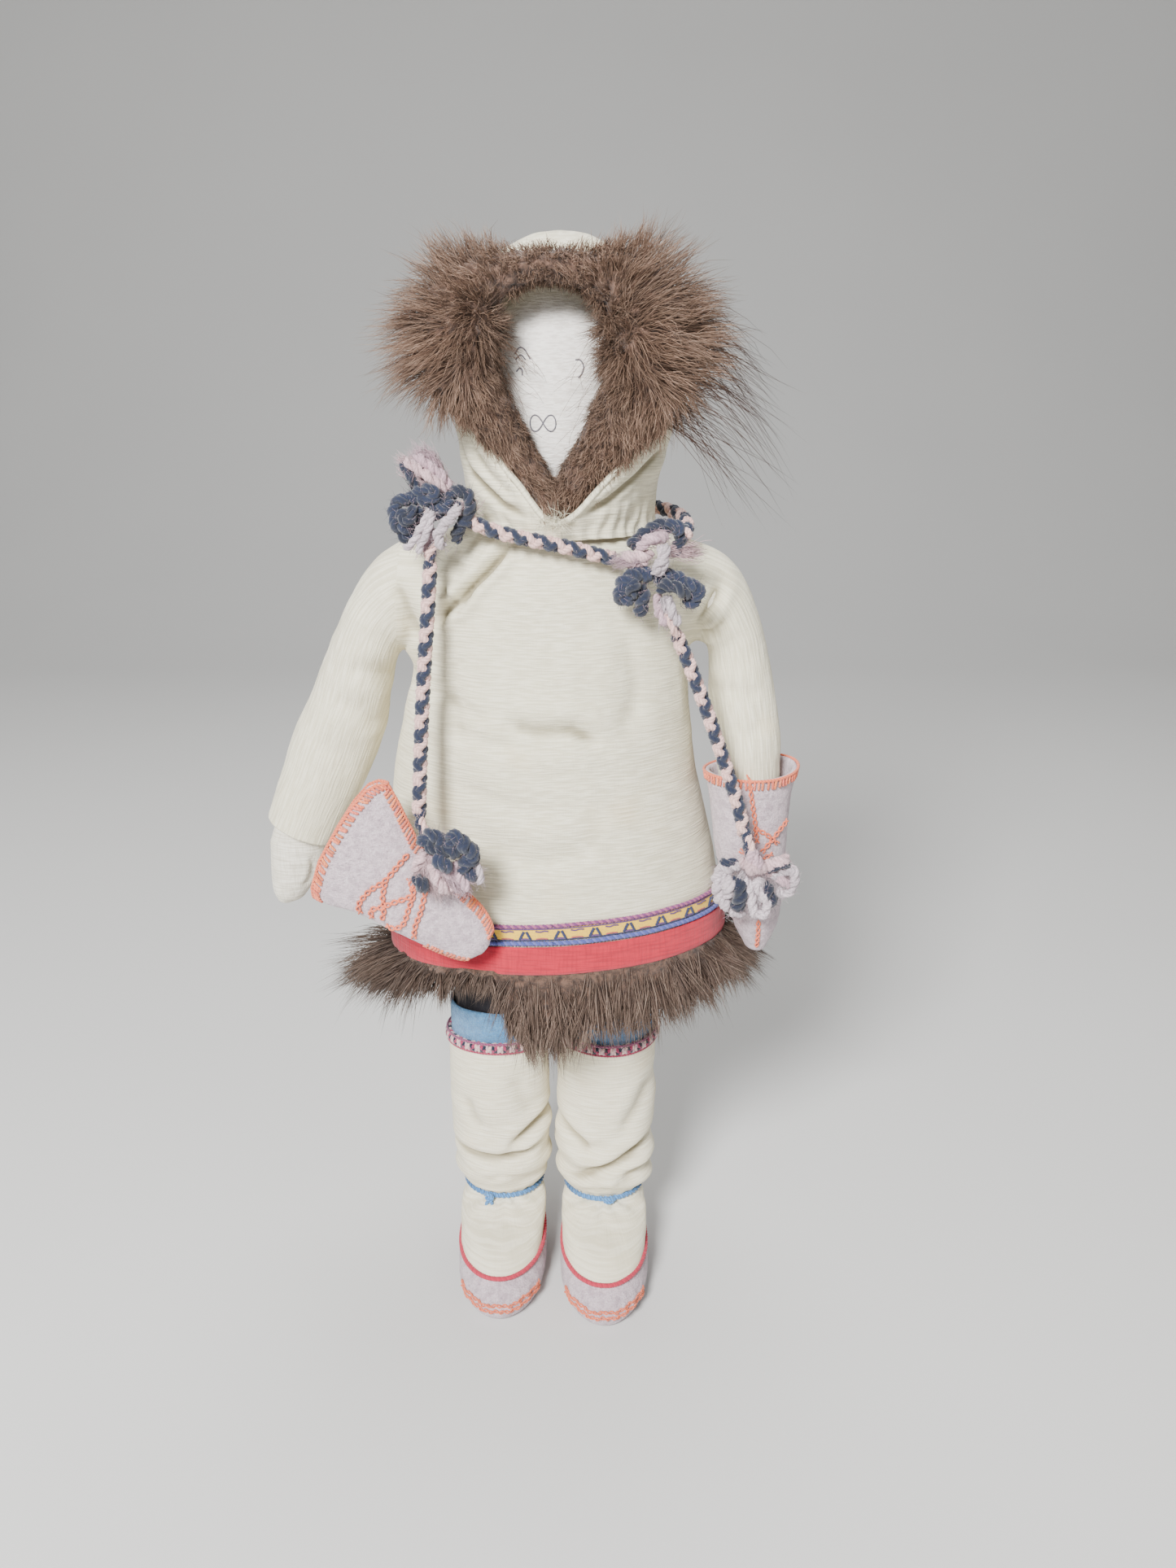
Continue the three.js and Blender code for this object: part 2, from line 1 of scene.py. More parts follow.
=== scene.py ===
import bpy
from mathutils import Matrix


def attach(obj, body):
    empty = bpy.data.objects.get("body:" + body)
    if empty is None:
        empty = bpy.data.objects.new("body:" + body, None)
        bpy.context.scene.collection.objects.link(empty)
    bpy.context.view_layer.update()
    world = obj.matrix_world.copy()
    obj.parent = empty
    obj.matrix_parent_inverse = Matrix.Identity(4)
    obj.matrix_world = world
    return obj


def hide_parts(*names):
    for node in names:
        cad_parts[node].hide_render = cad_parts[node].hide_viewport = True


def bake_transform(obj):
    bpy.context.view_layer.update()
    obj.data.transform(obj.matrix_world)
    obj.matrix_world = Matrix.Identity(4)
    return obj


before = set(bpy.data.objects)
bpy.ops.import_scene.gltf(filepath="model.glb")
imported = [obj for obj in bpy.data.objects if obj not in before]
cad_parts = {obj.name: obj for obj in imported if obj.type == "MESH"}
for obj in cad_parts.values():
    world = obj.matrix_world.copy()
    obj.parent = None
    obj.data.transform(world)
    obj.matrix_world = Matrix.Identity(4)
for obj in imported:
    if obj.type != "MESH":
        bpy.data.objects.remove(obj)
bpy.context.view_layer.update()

import math

import bmesh
import bpy
import numpy as np
from mathutils import Vector
from mathutils.bvhtree import BVHTree
from mathutils.kdtree import KDTree

# The doll is described in millimetres in its own frame: +X is its left side, it faces -Y, and Z = 0 is the ground.
ORIGIN = np.array([9.9, 8.3, 0.0])


def metres(points):
    """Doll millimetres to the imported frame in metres."""
    return (np.asarray(points, float) + ORIGIN) / 1000


def spot(x, y, z):
    """One point in metres, as a list."""
    return metres((x, y, z)).tolist()


def unit(v):
    v = np.asarray(v, float)
    return v / np.maximum(np.linalg.norm(v, axis=-1, keepdims=True), 1e-12)


def ramp(value, start, width):
    """From 0 at start to 1 at start + width, and level outside; a negative width runs the other way."""
    return np.clip((value - start) / width, 0, 1)


def circle(count):
    """Angles of a number of even steps round a circle."""
    return 2 * np.pi * np.arange(count) / count


def length_of(line):
    return np.linalg.norm(np.diff(line, axis=0), axis=1).sum()


def run_along(line):
    """How far along a line each of its points lies."""
    return np.concatenate([[0], np.cumsum(np.linalg.norm(np.diff(line, axis=0), axis=1))])


# ---- Camera and light

CAMERA_AT = (10, -359, 301)  # millimetres in the doll's frame
CAMERA_DOWN = 19.2  # degrees below level
FOCAL_LENGTH, FILM_WIDTH = 27.03, 36
LIGHTS = [  # name, place and size in metres, height aimed at, power in watts
    ("key", (-0.3, -0.84, 0.8), 0.34, 0.2, 31),
    ("fill", (0.8, -0.7, 0.5), 0.9, 0.18, 2.4),
    ("top", (0.1, 0.35, 1.2), 0.8, 0.2, 7.5),
]
SKY_COLOUR, SKY_STRENGTH = (0.9, 0.92, 0.95, 1), 0.28


def linked(name, data):
    made = bpy.data.objects.new(name, data)
    bpy.context.scene.collection.objects.link(made)
    return made


camera = linked("camera", bpy.data.cameras.new("camera"))
camera.location = metres(CAMERA_AT)
camera.rotation_euler = (math.radians(90 - CAMERA_DOWN), 0, 0)
camera.data.sensor_width = FILM_WIDTH
camera.data.lens = FOCAL_LENGTH
camera.data.clip_start = 0.01
bpy.context.scene.camera = camera

for name, place, size, height, power in LIGHTS:
    light = bpy.data.lights.new(name, "AREA")
    light.shape = "DISK"
    light.size = size
    light.energy = power
    lamp = linked(name, light)
    lamp.location = place
    lamp.rotation_euler = (Vector((0, 0, height)) - Vector(place)).to_track_quat("-Z", "Y").to_euler()

world = bpy.data.worlds.new("studio")
world.use_nodes = True
sky = world.node_tree.nodes["Background"]
sky.inputs["Color"].default_value = SKY_COLOUR
sky.inputs["Strength"].default_value = SKY_STRENGTH
bpy.context.scene.world = world


# ---- Numbers

def noise(points, seed=0):
    """Smooth value noise from -1 to 1 at points of any scale, one cell per unit."""
    points = np.asarray(points, float)
    cell = np.floor(points).astype(np.int64)
    f = points - cell
    f = f * f * (3 - 2 * f)
    total = np.zeros(len(points))
    for dx in (0, 1):
        for dy in (0, 1):
            for dz in (0, 1):
                h = (cell[:, 0] + dx) * 73856093 ^ (cell[:, 1] + dy) * 19349663 ^ (cell[:, 2] + dz) * 83492791
                h = (h ^ (seed * 2654435761)) & 0x7FFFFFFF
                h = (h * 1103515245 + 12345) & 0x7FFFFFFF
                h = ((h >> 7) ^ h) & 0xFFFF
                wx = f[:, 0] if dx else 1 - f[:, 0]
                wy = f[:, 1] if dy else 1 - f[:, 1]
                wz = f[:, 2] if dz else 1 - f[:, 2]
                total += wx * wy * wz * (h / 32767.5 - 1)
    return total


def fractal(points, seed=0, octaves=3):
    points = np.asarray(points, float)
    return sum(noise(points * 2**i, seed + i) / 2**i for i in range(octaves)) / 1.75


def spline(points, count, closed=False):
    """A smooth curve through points, sampled at equal steps along it."""
    p = np.asarray(points, float)
    if closed:
        p = np.vstack([p[-1:], p, p[:2]])
    else:
        p = np.vstack([2 * p[0] - p[1], p, 2 * p[-1] - p[-2]])
    fine = []
    t = np.linspace(0, 1, 24, endpoint=False)[:, None]
    for i in range(1, len(p) - 2):
        a, b, c, d = p[i - 1], p[i], p[i + 1], p[i + 2]
        bend, twist = 2 * a - 5 * b + 4 * c - d, 3 * b - a - 3 * c + d
        fine.append(0.5 * (2 * b + (c - a) * t + bend * t**2 + twist * t**3))
    fine = np.vstack(fine + [p[-2:-1]])
    run = run_along(fine)
    at = np.linspace(0, run[-1], count, endpoint=not closed)
    return np.stack([np.interp(at, run, fine[:, k]) for k in range(fine.shape[1])], axis=1)


def frames(path, closed=False):
    """Tangent and two normals along a path, turning as little as possible."""
    path = np.asarray(path, float)
    if closed:
        tangent = unit(np.roll(path, -1, 0) - np.roll(path, 1, 0))
    else:
        tangent = unit(np.gradient(path, axis=0))
    start = np.cross(tangent[0], [0, 0, 1])
    if np.linalg.norm(start) < 0.2:
        start = np.cross(tangent[0], [1, 0, 0])
    normal = [unit(start)]
    for t in tangent[1:]:
        last = normal[-1] - t * np.dot(normal[-1], t)
        normal.append(unit(last))
    normal = np.array(normal)
    return tangent, normal, np.cross(tangent, normal)


# ---- Meshes

class Cloth:
    """Collects points in doll millimetres, faces, colours and cloth coordinates, and makes one mesh of them."""

    def __init__(self):
        self.points, self.quads, self.tris, self.colours, self.weave = [], [], [], [], []
        self.count = 0

    def add(self, points, quads=None, tris=None, colour=None, weave=None):
        points = np.asarray(points, float).reshape(-1, 3)
        n = len(points)
        self.points.append(points)
        if quads is not None and len(quads):
            self.quads.append(np.asarray(quads, int).reshape(-1, 4) + self.count)
        if tris is not None and len(tris):
            self.tris.append(np.asarray(tris, int).reshape(-1, 3) + self.count)
        colour = np.ones(3) if colour is None else np.asarray(colour, float)
        self.colours.append(np.broadcast_to(colour, (n, 3)))
        self.weave.append(np.zeros((n, 3)) if weave is None else np.asarray(weave, float).reshape(-1, 3))
        self.count += n
        return self

    def grid(self, rows, around=True, caps=(False, False), **extra):
        """A surface through rows of points; around joins each row's ends."""
        rows = np.asarray(rows, float)
        n, m = rows.shape[:2]
        i, j = np.meshgrid(np.arange(n - 1), np.arange(m if around else m - 1), indexing="ij")
        k = (j + 1) % m
        quads = np.stack([i * m + j, i * m + k, (i + 1) * m + k, (i + 1) * m + j], -1).reshape(-1, 4)
        points = rows.reshape(-1, 3)
        tris = []
        for end, wanted in enumerate(caps):
            if wanted:
                first = 0 if end == 0 else (n - 1) * m
                points = np.vstack([points, rows[0 if end == 0 else -1].mean(0)])
                tip = len(points) - 1
                for j in range(m):
                    a, b = first + j, first + (j + 1) % m
                    tris.append([tip, b, a] if end == 0 else [tip, a, b])
        for key in ("colour", "weave"):
            if extra.get(key) is not None and np.ndim(extra[key]) > 1:
                value = np.asarray(extra[key], float).reshape(-1, 3)
                short = len(points) - len(value)
                extra[key] = np.vstack([value] + [value[-1:]] * short)
        return self.add(points, quads, tris, **extra)

    def tube(self, path, radius, sides=8, lobes=0, depth=0.15, twist=0.0, closed=False, **extra):
        """A yarn, thread or cord: lobes gives it twisted plies, twist in turns per millimetre."""
        path = np.asarray(path, float)
        _, a, b = frames(path, closed)
        step = run_along(path)
        angle = circle(sides)
        ply = 1 + depth * np.cos(lobes * (angle[None] - 2 * np.pi * twist * step[:, None])) if lobes else 1.0
        radius = np.broadcast_to(np.asarray(radius, float), (len(path),))[:, None] * ply
        radius = np.broadcast_to(radius, (len(path), sides))
        rows = path[:, None] + radius[..., None] * (
            np.cos(angle)[None, :, None] * a[:, None] + np.sin(angle)[None, :, None] * b[:, None]
        )
        # The weave's third part is how far a point dips between plies, where yarn materials paint shade.
        weave = np.stack(np.broadcast_arrays(angle[None] * 1e-3, step[:, None] * 1e-3, ply - 1 + 0 * radius), -1)
        if closed:
            rows, weave = np.vstack([rows, rows[:1]]), np.vstack([weave, weave[:1]])
            return self.grid(rows, weave=weave, **extra)
        return self.grid(rows, caps=(True, True), weave=weave, **extra)

    def strands(self, paths, radii, colours):
        """Many thin hairs at once: paths is hairs by points by 3, radii and colours go with the points."""
        n, k = paths.shape[:2]
        along = unit(np.gradient(paths, axis=1))
        side = unit(np.cross(along, unit(np.array([0.31, -0.85, 0.43]))))
        up = np.cross(along, side)
        angle = circle(3)
        ring = np.cos(angle)[:, None] * side[:, :, None] + np.sin(angle)[:, None] * up[:, :, None]
        body = paths[:, :-1, None] + radii[:, :-1, None, None] * ring[:, :-1]
        points = np.concatenate([body.reshape(n, -1, 3), paths[:, -1:]], axis=1)
        size = 3 * (k - 1) + 1
        base = np.arange(n)[:, None, None] * size
        i, j = np.meshgrid(np.arange(k - 2), np.arange(3), indexing="ij")
        j2 = (j + 1) % 3
        quads = np.stack([i * 3 + j, i * 3 + j2, (i + 1) * 3 + j2, (i + 1) * 3 + j], -1).reshape(-1, 4)
        last = 3 * (k - 2)
        tris = np.array([[last + a, last + (a + 1) % 3, size - 1] for a in range(3)])
        shade = np.concatenate([np.repeat(colours[:, :-1], 3, axis=1), colours[:, -1:]], axis=1)
        self.points.append(points.reshape(-1, 3))
        self.quads.append((quads[None] + base).reshape(-1, 4) + self.count)
        self.tris.append((tris[None] + base).reshape(-1, 3) + self.count)
        self.colours.append(shade.reshape(-1, 3))
        self.weave.append(np.zeros((n * size, 3)))
        self.count += n * size
        return self

    def faces(self):
        return [tuple(face) for part in self.quads + self.tris for face in part.tolist()]

    def surface(self):
        """What has been collected so far, for finding places on it."""
        return BVHTree.FromPolygons(np.vstack(self.points).tolist(), self.faces())

    def piece(self, name, material, body, slot, replaces=(), blend=None):
        """Makes the piece; body is None where blend is given."""
        mesh = bpy.data.meshes.new(name)
        points = metres(np.vstack(self.points))
        quads = np.vstack(self.quads) if self.quads else np.zeros((0, 4), int)
        tris = np.vstack(self.tris) if self.tris else np.zeros((0, 3), int)
        loops = np.concatenate([quads.ravel(), tris.ravel()])
        starts = np.concatenate([np.arange(len(quads)) * 4, len(quads) * 4 + np.arange(len(tris)) * 3])
        mesh.vertices.add(len(points))
        mesh.vertices.foreach_set("co", points.ravel())
        mesh.loops.add(len(loops))
        mesh.loops.foreach_set("vertex_index", loops)
        mesh.polygons.add(len(starts))
        mesh.polygons.foreach_set("loop_start", starts)
        mesh.polygons.foreach_set("use_smooth", np.ones(len(starts), bool))
        mesh.update(calc_edges=True)
        tone = mesh.attributes.new("tone", "FLOAT_COLOR", "POINT")
        colours = np.vstack(self.colours)
        tone.data.foreach_set("color", np.hstack([colours, np.ones((len(colours), 1))]).ravel())
        weave = mesh.attributes.new("weave", "FLOAT_VECTOR", "POINT")
        weave.data.foreach_set("vector", np.vstack(self.weave).ravel())
        return finish_piece(name, mesh, material, body, replaces, blend)


def finish_piece(name, mesh, material, body, replaces=(), blend=None):
    piece = linked(name, mesh)
    mesh.materials.clear()
    mesh.materials.append(material)
    if blend:
        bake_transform(piece)
    else:
        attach(piece, body)
    if replaces:
        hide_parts(*replaces)
    return piece


# ---- Materials

class Nodes:
    """A small helper to wire one procedural material."""

    def __init__(self, name, roughness=0.9, sheen=0.0):
        self.material = bpy.data.materials.new(name)
        self.material.use_nodes = True
        self.tree = self.material.node_tree
        self.shader = self.tree.nodes["Principled BSDF"]
        self.shader.inputs["Roughness"].default_value = roughness
        self.shader.inputs["Specular IOR Level"].default_value = 0.25
        self.shader.inputs["Sheen Weight"].default_value = sheen
        self.shader.inputs["Sheen Roughness"].default_value = 0.6

    def node(self, kind, settings=None, **inputs):
        made = self.tree.nodes.new(kind)
        for key, value in (settings or {}).items():
            setattr(made, key, value)
        for key, value in inputs.items():
            socket = made.inputs[int(key[1:])] if key[0] == "_" else made.inputs[key.replace("_", " ")]
            if isinstance(value, bpy.types.NodeSocket):
                self.tree.links.new(value, socket)
            else:
                socket.default_value = value
        return made

    def place(self):
        return self.node("ShaderNodeTexCoord").outputs["Object"]

    def attribute(self, name):
        return self.node("ShaderNodeAttribute", {"attribute_name": name})

    def scaled(self, vector, scale):
        return self.node("ShaderNodeMapping", None, Vector=vector, Scale=scale).outputs[0]

    def noise(self, vector, scale, detail=3.0, roughness=0.55):
        made = self.node("ShaderNodeTexNoise", None, Vector=vector, Scale=scale, Detail=detail, Roughness=roughness)
        return made.outputs["Fac"]

    def remap(self, value, low, high, to_low=0.0, to_high=1.0):
        made = self.node("ShaderNodeMapRange", {"interpolation_type": "SMOOTHSTEP"}, Value=value)
        for key, v in (("From Min", low), ("From Max", high), ("To Min", to_low), ("To Max", to_high)):
            made.inputs[key].default_value = v
        return made.outputs["Result"]

    def maths(self, operation, a, b):
        return self.node("ShaderNodeMath", {"operation": operation}, _0=a, _1=b).outputs[0]

    def mix(self, factor, a, b, kind="MIX"):
        made = self.node("ShaderNodeMix", {"data_type": "RGBA", "blend_type": kind, "clamp_factor": True})
        for index, value in ((0, factor), (6, a), (7, b)):
            if isinstance(value, bpy.types.NodeSocket):
                self.tree.links.new(value, made.inputs[index])
            else:
                made.inputs[index].default_value = value if index == 0 else (*value, 1)
        return made.outputs[2]

    def colour(self, socket):
        self.tree.links.new(socket, self.shader.inputs["Base Color"])

    def layer(self, shade, value, low, high, amount, over):
        """Lays a colour over a shade as value rises from low to high, at most as strong as amount."""
        return self.mix(self.remap(value, low, high, 0.0, amount), shade, over)

    def weighted(self, *pairs):
        """The sum of sockets, each times its weight."""
        parts = [value if weight == 1 else self.maths("MULTIPLY", value, weight) for value, weight in pairs]
        total = parts[0]
        for part in parts[1:]:
            total = self.maths("ADD", total, part)
        return total

    def bump(self, height, distance, strength=1.0):
        made = self.node("ShaderNodeBump", None, Height=height, Distance=distance, Strength=strength)
        self.tree.links.new(made.outputs[0], self.shader.inputs["Normal"])


def linear(r, g, b):
    """Display colour from 0 to 255 as linear light."""
    c = np.array([r, g, b], float) / 255
    return tuple(float(x) for x in np.where(c <= 0.04045, c / 12.92, ((c + 0.055) / 1.055) ** 2.4))


def dye(r, g, b):
    """A display colour as an array, for yarns, threads and hairs."""
    return np.array(linear(r, g, b))


def toned(colour, *factors):
    return tuple(x * factor for x, factor in zip(colour, factors))


def ribbed_cotton(name, colour, deep, stain=0.3):
    """Off-white cotton with fine uneven crosswise ribs, slubs and a few faint marks, along the cloth's own weave,
    with shade painted into its creases.
    """
    m = Nodes(name, 0.92, 0.15)
    weave = m.attribute("weave").outputs["Vector"]
    place = m.place()
    crease_shade = m.node("ShaderNodeSeparateXYZ", None, Vector=weave).outputs["Z"]
    rib = m.noise(m.scaled(weave, (110, 1900, 0)), 1.0, 1.0, 0.5)
    slub = m.noise(m.scaled(weave, (80, 1250, 0)), 1.0, 2.0, 0.6)
    warp = m.noise(m.scaled(weave, (2300, 160, 0)), 1.0, 2.0, 0.5)
    cloud = m.noise(place, 24.0, 3.0, 0.5)
    spot_mask = m.noise(place, 33.0, 2.0, 0.5)
    shade = m.mix(m.remap(rib, 0.40, 0.62, 0.5, 0.0), colour, deep)
    shade = m.layer(shade, slub, 0.5, 0.7, 0.25, deep)
    shade = m.layer(shade, warp, 0.5, 0.7, 0.16, deep)
    shade = m.layer(shade, cloud, 0.35, 0.7, 0.3, toned(colour, 0.93, 0.93, 0.86))
    shade = m.layer(shade, spot_mask, 0.60, 0.80, stain, toned(colour, 0.84, 0.68, 0.46))
    # Painted shade: the weave's third part darkens the cloth in its creases.
    m.colour(m.layer(shade, crease_shade, 0.04, 0.75, 0.8, toned(deep, 0.36, 0.33, 0.26)))
    height = m.weighted((rib, 1), (slub, 0.3), (warp, 0.35))
    m.bump(height, 0.0003, 0.9)
    return m.material


def plain_weave(name, colour, deep, fine=1900.0, sheen=0.1, roughness=0.9, mottled=0.25):
    """A plain woven cloth: uneven threads one way and the other."""
    m = Nodes(name, roughness, sheen)
    place = m.place()
    level = m.noise(m.scaled(place, (110, 110, fine)), 1.0, 2.0, 0.5)
    upright = m.noise(m.scaled(place, (fine, fine, 130)), 1.0, 2.0, 0.5)
    cloud = m.noise(place, 70.0, 4.0, 0.6)
    shade = m.layer(colour, level, 0.42, 0.66, 0.55, deep)
    shade = m.layer(shade, upright, 0.46, 0.68, 0.4, deep)
    m.colour(m.layer(shade, cloud, 0.4, 0.7, mottled, deep))
    m.bump(m.weighted((level, 1), (upright, 1), (cloud, 0.5)), 0.00022, 0.9)
    return m.material


def felt(name, colour, pale, deep):
    """Pressed wool: blended fibres in two shades, a matted nap and a soft sheen."""
    m = Nodes(name, 0.97, 0.35)
    place = m.place()
    fibre = m.noise(m.scaled(place, (1, 1, 0.45)), 2300.0, 4.0, 0.7)
    across = m.noise(m.scaled(place, (0.45, 1, 1)), 1900.0, 4.0, 0.7)
    patch = m.noise(place, 420.0, 4.0, 0.65)
    shade = m.layer(colour, fibre, 0.45, 0.7, 0.75, pale)
    shade = m.layer(shade, across, 0.5, 0.72, 0.7, deep)
    m.colour(m.layer(shade, patch, 0.42, 0.66, 0.5, deep))
    m.bump(m.weighted((fibre, 0.6), (patch, 1), (across, 1)), 0.0006)
    return m.material


def spun(name, ply_shade=0.45, roughness=0.85, sheen=0.3, scale=1500.0):
    """Yarn or thread that takes its colour from its own tone, with shade painted between its plies, and with fibre
    streaks.
    """
    m = Nodes(name, roughness, sheen)
    tone = m.attribute("tone").outputs["Color"]
    weave = m.node("ShaderNodeSeparateXYZ", None, Vector=m.attribute("weave").outputs["Vector"]).outputs["Z"]
    place = m.place()
    fibre = m.noise(place, scale, 3.0, 0.7)
    # The tone darkened, for the painted shade between the plies and for the fibre streaks.
    dark = m.mix(1.0, tone, (ply_shade, ply_shade, ply_shade), "MULTIPLY")
    shade = m.mix(m.remap(weave, -0.16, 0.05, 1.0, 0.0), tone, dark)
    m.colour(m.layer(shade, fibre, 0.42, 0.68, 0.45, dark))
    m.bump(fibre, 0.00025, 0.7)
    return m.material


def hair(name):
    """Fur hairs: each takes its colour from its own tone, a little glossy along its length."""
    m = Nodes(name, 0.48, 0.0)
    m.shader.inputs["Specular IOR Level"].default_value = 0.35
    tone = m.attribute("tone").outputs["Color"]
    fleck = m.noise(m.place(), 420.0, 2.0, 0.6)
    m.colour(m.layer(tone, fleck, 0.4, 0.7, 0.3, (0.06, 0.035, 0.022)))
    return m.material


def undercoat(name, colour, deep):
    m = Nodes(name, 0.95, 0.2)
    place = m.place()
    tuft = m.noise(place, 420.0, 4.0, 0.7)
    m.colour(m.mix(m.remap(tuft, 0.35, 0.68), deep, colour))
    m.bump(tuft, 0.0012)
    return m.material


COTTON = ribbed_cotton("parka_cotton", linear(232, 226, 202), linear(184, 175, 146))
BOOT_COTTON = ribbed_cotton("boot_cotton", linear(238, 231, 208), linear(202, 191, 160), 0.4)
MUSLIN = plain_weave("muslin", linear(234, 229, 214), linear(182, 174, 155))
STUFFING = plain_weave("fibre_fill", linear(238, 236, 230), linear(205, 200, 190), 500.0)
RED_TAPE = plain_weave("red_tape", linear(188, 30, 52), linear(148, 20, 40), 1500.0, 0.2, mottled=0.4)
BLACK = plain_weave("black_cotton", linear(40, 38, 44), linear(16, 15, 19), 1300.0)
BLUE_FELT = felt("blue_felt", linear(74, 136, 184), linear(112, 168, 206), linear(44, 96, 142))
LILAC_FELT = felt("lilac_felt", linear(208, 188, 195), linear(236, 224, 228), linear(150, 127, 139))
YARN = spun("yarn")
THREAD = spun("thread", 0.6, 0.7, 0.2, 2500.0)
FUR = hair("fur_hair")
UNDERCOAT = undercoat("fur_undercoat", linear(106, 80, 66), linear(50, 36, 29))

NAVY = dye(27, 36, 60)
PINK = dye(228, 186, 178)
MAUVE = dye(190, 158, 168)
CHALK = dye(196, 182, 188)
ORANGE = dye(238, 122, 84)

for node_name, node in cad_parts.items():
    node.data.materials.clear()
    node.data.materials.append(STUFFING if "stuffing" in node_name else MUSLIN)


# ---- The braided harness

NECK_FRONT = [(-23.5, -27.5, 263), (-16, -29.6, 260.2), (-6, -31.2, 258), (4, -31.2, 256), (13, -30, 253.6),
              (17, -28.8, 252.6)]
NECK_BACK = [(-38, -13.5, 261), (-37, -4, 261.5), (-32, 9, 262), (-22, 20.5, 262.6), (-8, 26.5, 262.8),
             (10, 26.5, 262.8), (24, 20.5, 262.4), (35, 8, 261.6), (39, -4, 259.5), (38, -14.5, 256.5)]
RIGHT_DROP = [(-34, -28.5, 251.5), (-35, -31, 238), (-36.6, -33.6, 220), (-37.8, -36.8, 202), (-38.4, -39.4, 189),
              (-38.8, -40.6, 180)]
LEFT_DROP = [(35, -29, 231.5), (40, -29.5, 220), (45.5, -29.5, 206), (50.5, -30.2, 192), (54.5, -32.4, 180),
             (56.5, -34.2, 171.5)]
BRAID_PERIOD = 8.2  # one strand's full turn, in millimetres


def fuzz(path, spread, count, colours, seed, length=(1.0, 2.6), radius=0.035):
    """Stray fibres round a yarn."""
    rng = np.random.default_rng(seed)
    path = np.asarray(path)
    at = rng.integers(0, len(path), count)
    out = unit(rng.normal(size=(count, 3)))
    size = rng.uniform(*length, count)
    bend = unit(rng.normal(size=(count, 3)))
    s = np.linspace(0, 1, 5)[None, :, None]
    root = path[at] + out * spread * rng.uniform(0.6, 1.0, (count, 1))
    way, bend = unit(out + 0.8 * bend)[:, None], bend[:, None]
    paths = root[:, None] + size[:, None, None] * (s * way + 0.45 * s**2 * bend)
    radii = radius * (1 - 0.6 * s[..., 0]) * np.ones((count, 1))
    shade = np.asarray(colours)[rng.integers(0, len(colours), count)]
    return paths, radii, np.repeat(shade[:, None], 5, axis=1)


def braid(name, points, body, node, seed):
    """A four-strand round plait, two navy strands and two pink ones, that shows its two columns of lobes outwards."""
    length = length_of(spline(points, 200))
    count = int(length / 0.26)
    path = spline(points, count)
    tangent = unit(np.gradient(path, axis=0))
    outward = path * [1, 1, 0] if points is NECK_BACK else path * 0 + [0, -1, 0]
    front = unit(outward - tangent * (outward * tangent).sum(1)[:, None])
    side = np.cross(front, tangent)
    t = np.linspace(0, length, count) * 2 * np.pi / BRAID_PERIOD
    cord = Cloth()
    for turn, phase, shade in ((1, 0, NAVY), (1, np.pi, PINK), (-1, 0, NAVY), (-1, np.pi, PINK)):
        angle = turn * t + phase
        reach = 1.0 + 0.36 * turn * np.cos(2 * angle)
        angle = angle - np.pi / 4
        line = path + (np.cos(angle) * reach)[:, None] * front + (np.sin(angle) * reach)[:, None] * side
        cord.tube(line, 0.98, 12, lobes=4, depth=0.12, twist=0.3, colour=shade)
    cord.strands(*fuzz(path, 1.9, int(length * 9), [NAVY, PINK, MAUVE], seed, (0.5, 1.7), 0.032))
    piece = cord.piece(name, YARN, body, "yarn", (node,))


braid("neck_braid_front", NECK_FRONT, "torso", "neck_cord_front", 11)
braid("neck_braid_back", NECK_BACK, "torso", "neck_cord_back", 12)
braid("right_drop_braid", RIGHT_DROP, "right_cord", "right_drop_cord", 13)
braid("left_drop_braid", LEFT_DROP, "torso", "left_drop_cord", 14)


# ---- Cloth shapes

# Rows of PARKA are (z, half width, half depth, shift in x). Rows of the sleeves, hand and mitten are (x and z of the
# outer edge, x and z of the inner edge, y, half depth). Rows of HEAD and HOOD are (z, y, half width, half depth), and
# those of RUFF go round the face as (x, z, half width, half depth).
HEM_TILT = 0.055  # how much the hem rises towards the doll's left
PARKA_Y = -2  # the middle of the parka's depth
PARKA = [(114, 55.2, 32.2, 0), (126, 54.5, 32, 0), (150, 53, 31.5, -1), (180, 48.5, 30, -3.5), (200, 45, 28.5, -3),
         (218, 43, 27.5, -1.4), (240, 43.2, 26.5, -1.2), (249, 41, 25.5, -0.5), (255, 35, 24, 0), (259.5, 27, 21, 0),
         (262.5, 18, 15, 0)]
RIGHT_SLEEVE = [(25, 258.4, 25, 230, 0, 15), (36, 256.4, 36, 226, 0, 15.2), (45.4, 254, 45.4, 222.5, 0, 15),
                (54, 248.5, 48, 220, 0, 14.8), (62.5, 237.5, 50, 215, 0, 14.4), (71, 220, 51.5, 206.5, 0, 14),
                (77.5, 206, 54, 195, -1, 13.4), (85, 189, 61, 178, -3, 12), (92.5, 168, 72, 158, -5, 10)]
LEFT_SLEEVE = [(25, 257.6, 25, 230, 0, 15), (36, 255.4, 36, 227, 0, 15.2), (45.4, 252.5, 45.4, 223.5, 0, 15),
               (54, 247.5, 47, 220.5, -0.5, 13.8), (61.5, 235, 47.4, 215, -1.5, 12.6),
               (66.5, 216, 47.6, 205, -4.5, 11.4), (69, 200, 48.4, 195, -9.5, 9.8),
               (69.4, 189, 49.6, 187.5, -13.2, 8.8),
               (69.6, 180, 51, 178.5, -14, 8.2)]
RIGHT_HAND = [(92.4, 162, 75, 154.5, -5, 6.8), (93, 152, 78, 147, -5, 6.2), (93.4, 143, 83, 139.5, -5, 5.4),
              (92, 138, 88, 136.8, -5, 2.4)]
LEFT_MITTEN = [(73.6, 187, 47, 185, -14, 12.2), (72.6, 172, 48.4, 171, -14.4, 11.4), (72, 152, 51.8, 152, -15.2, 11),
               (71, 137, 56, 137, -15.8, 9.6), (67.4, 127, 60.6, 127, -16, 5)]
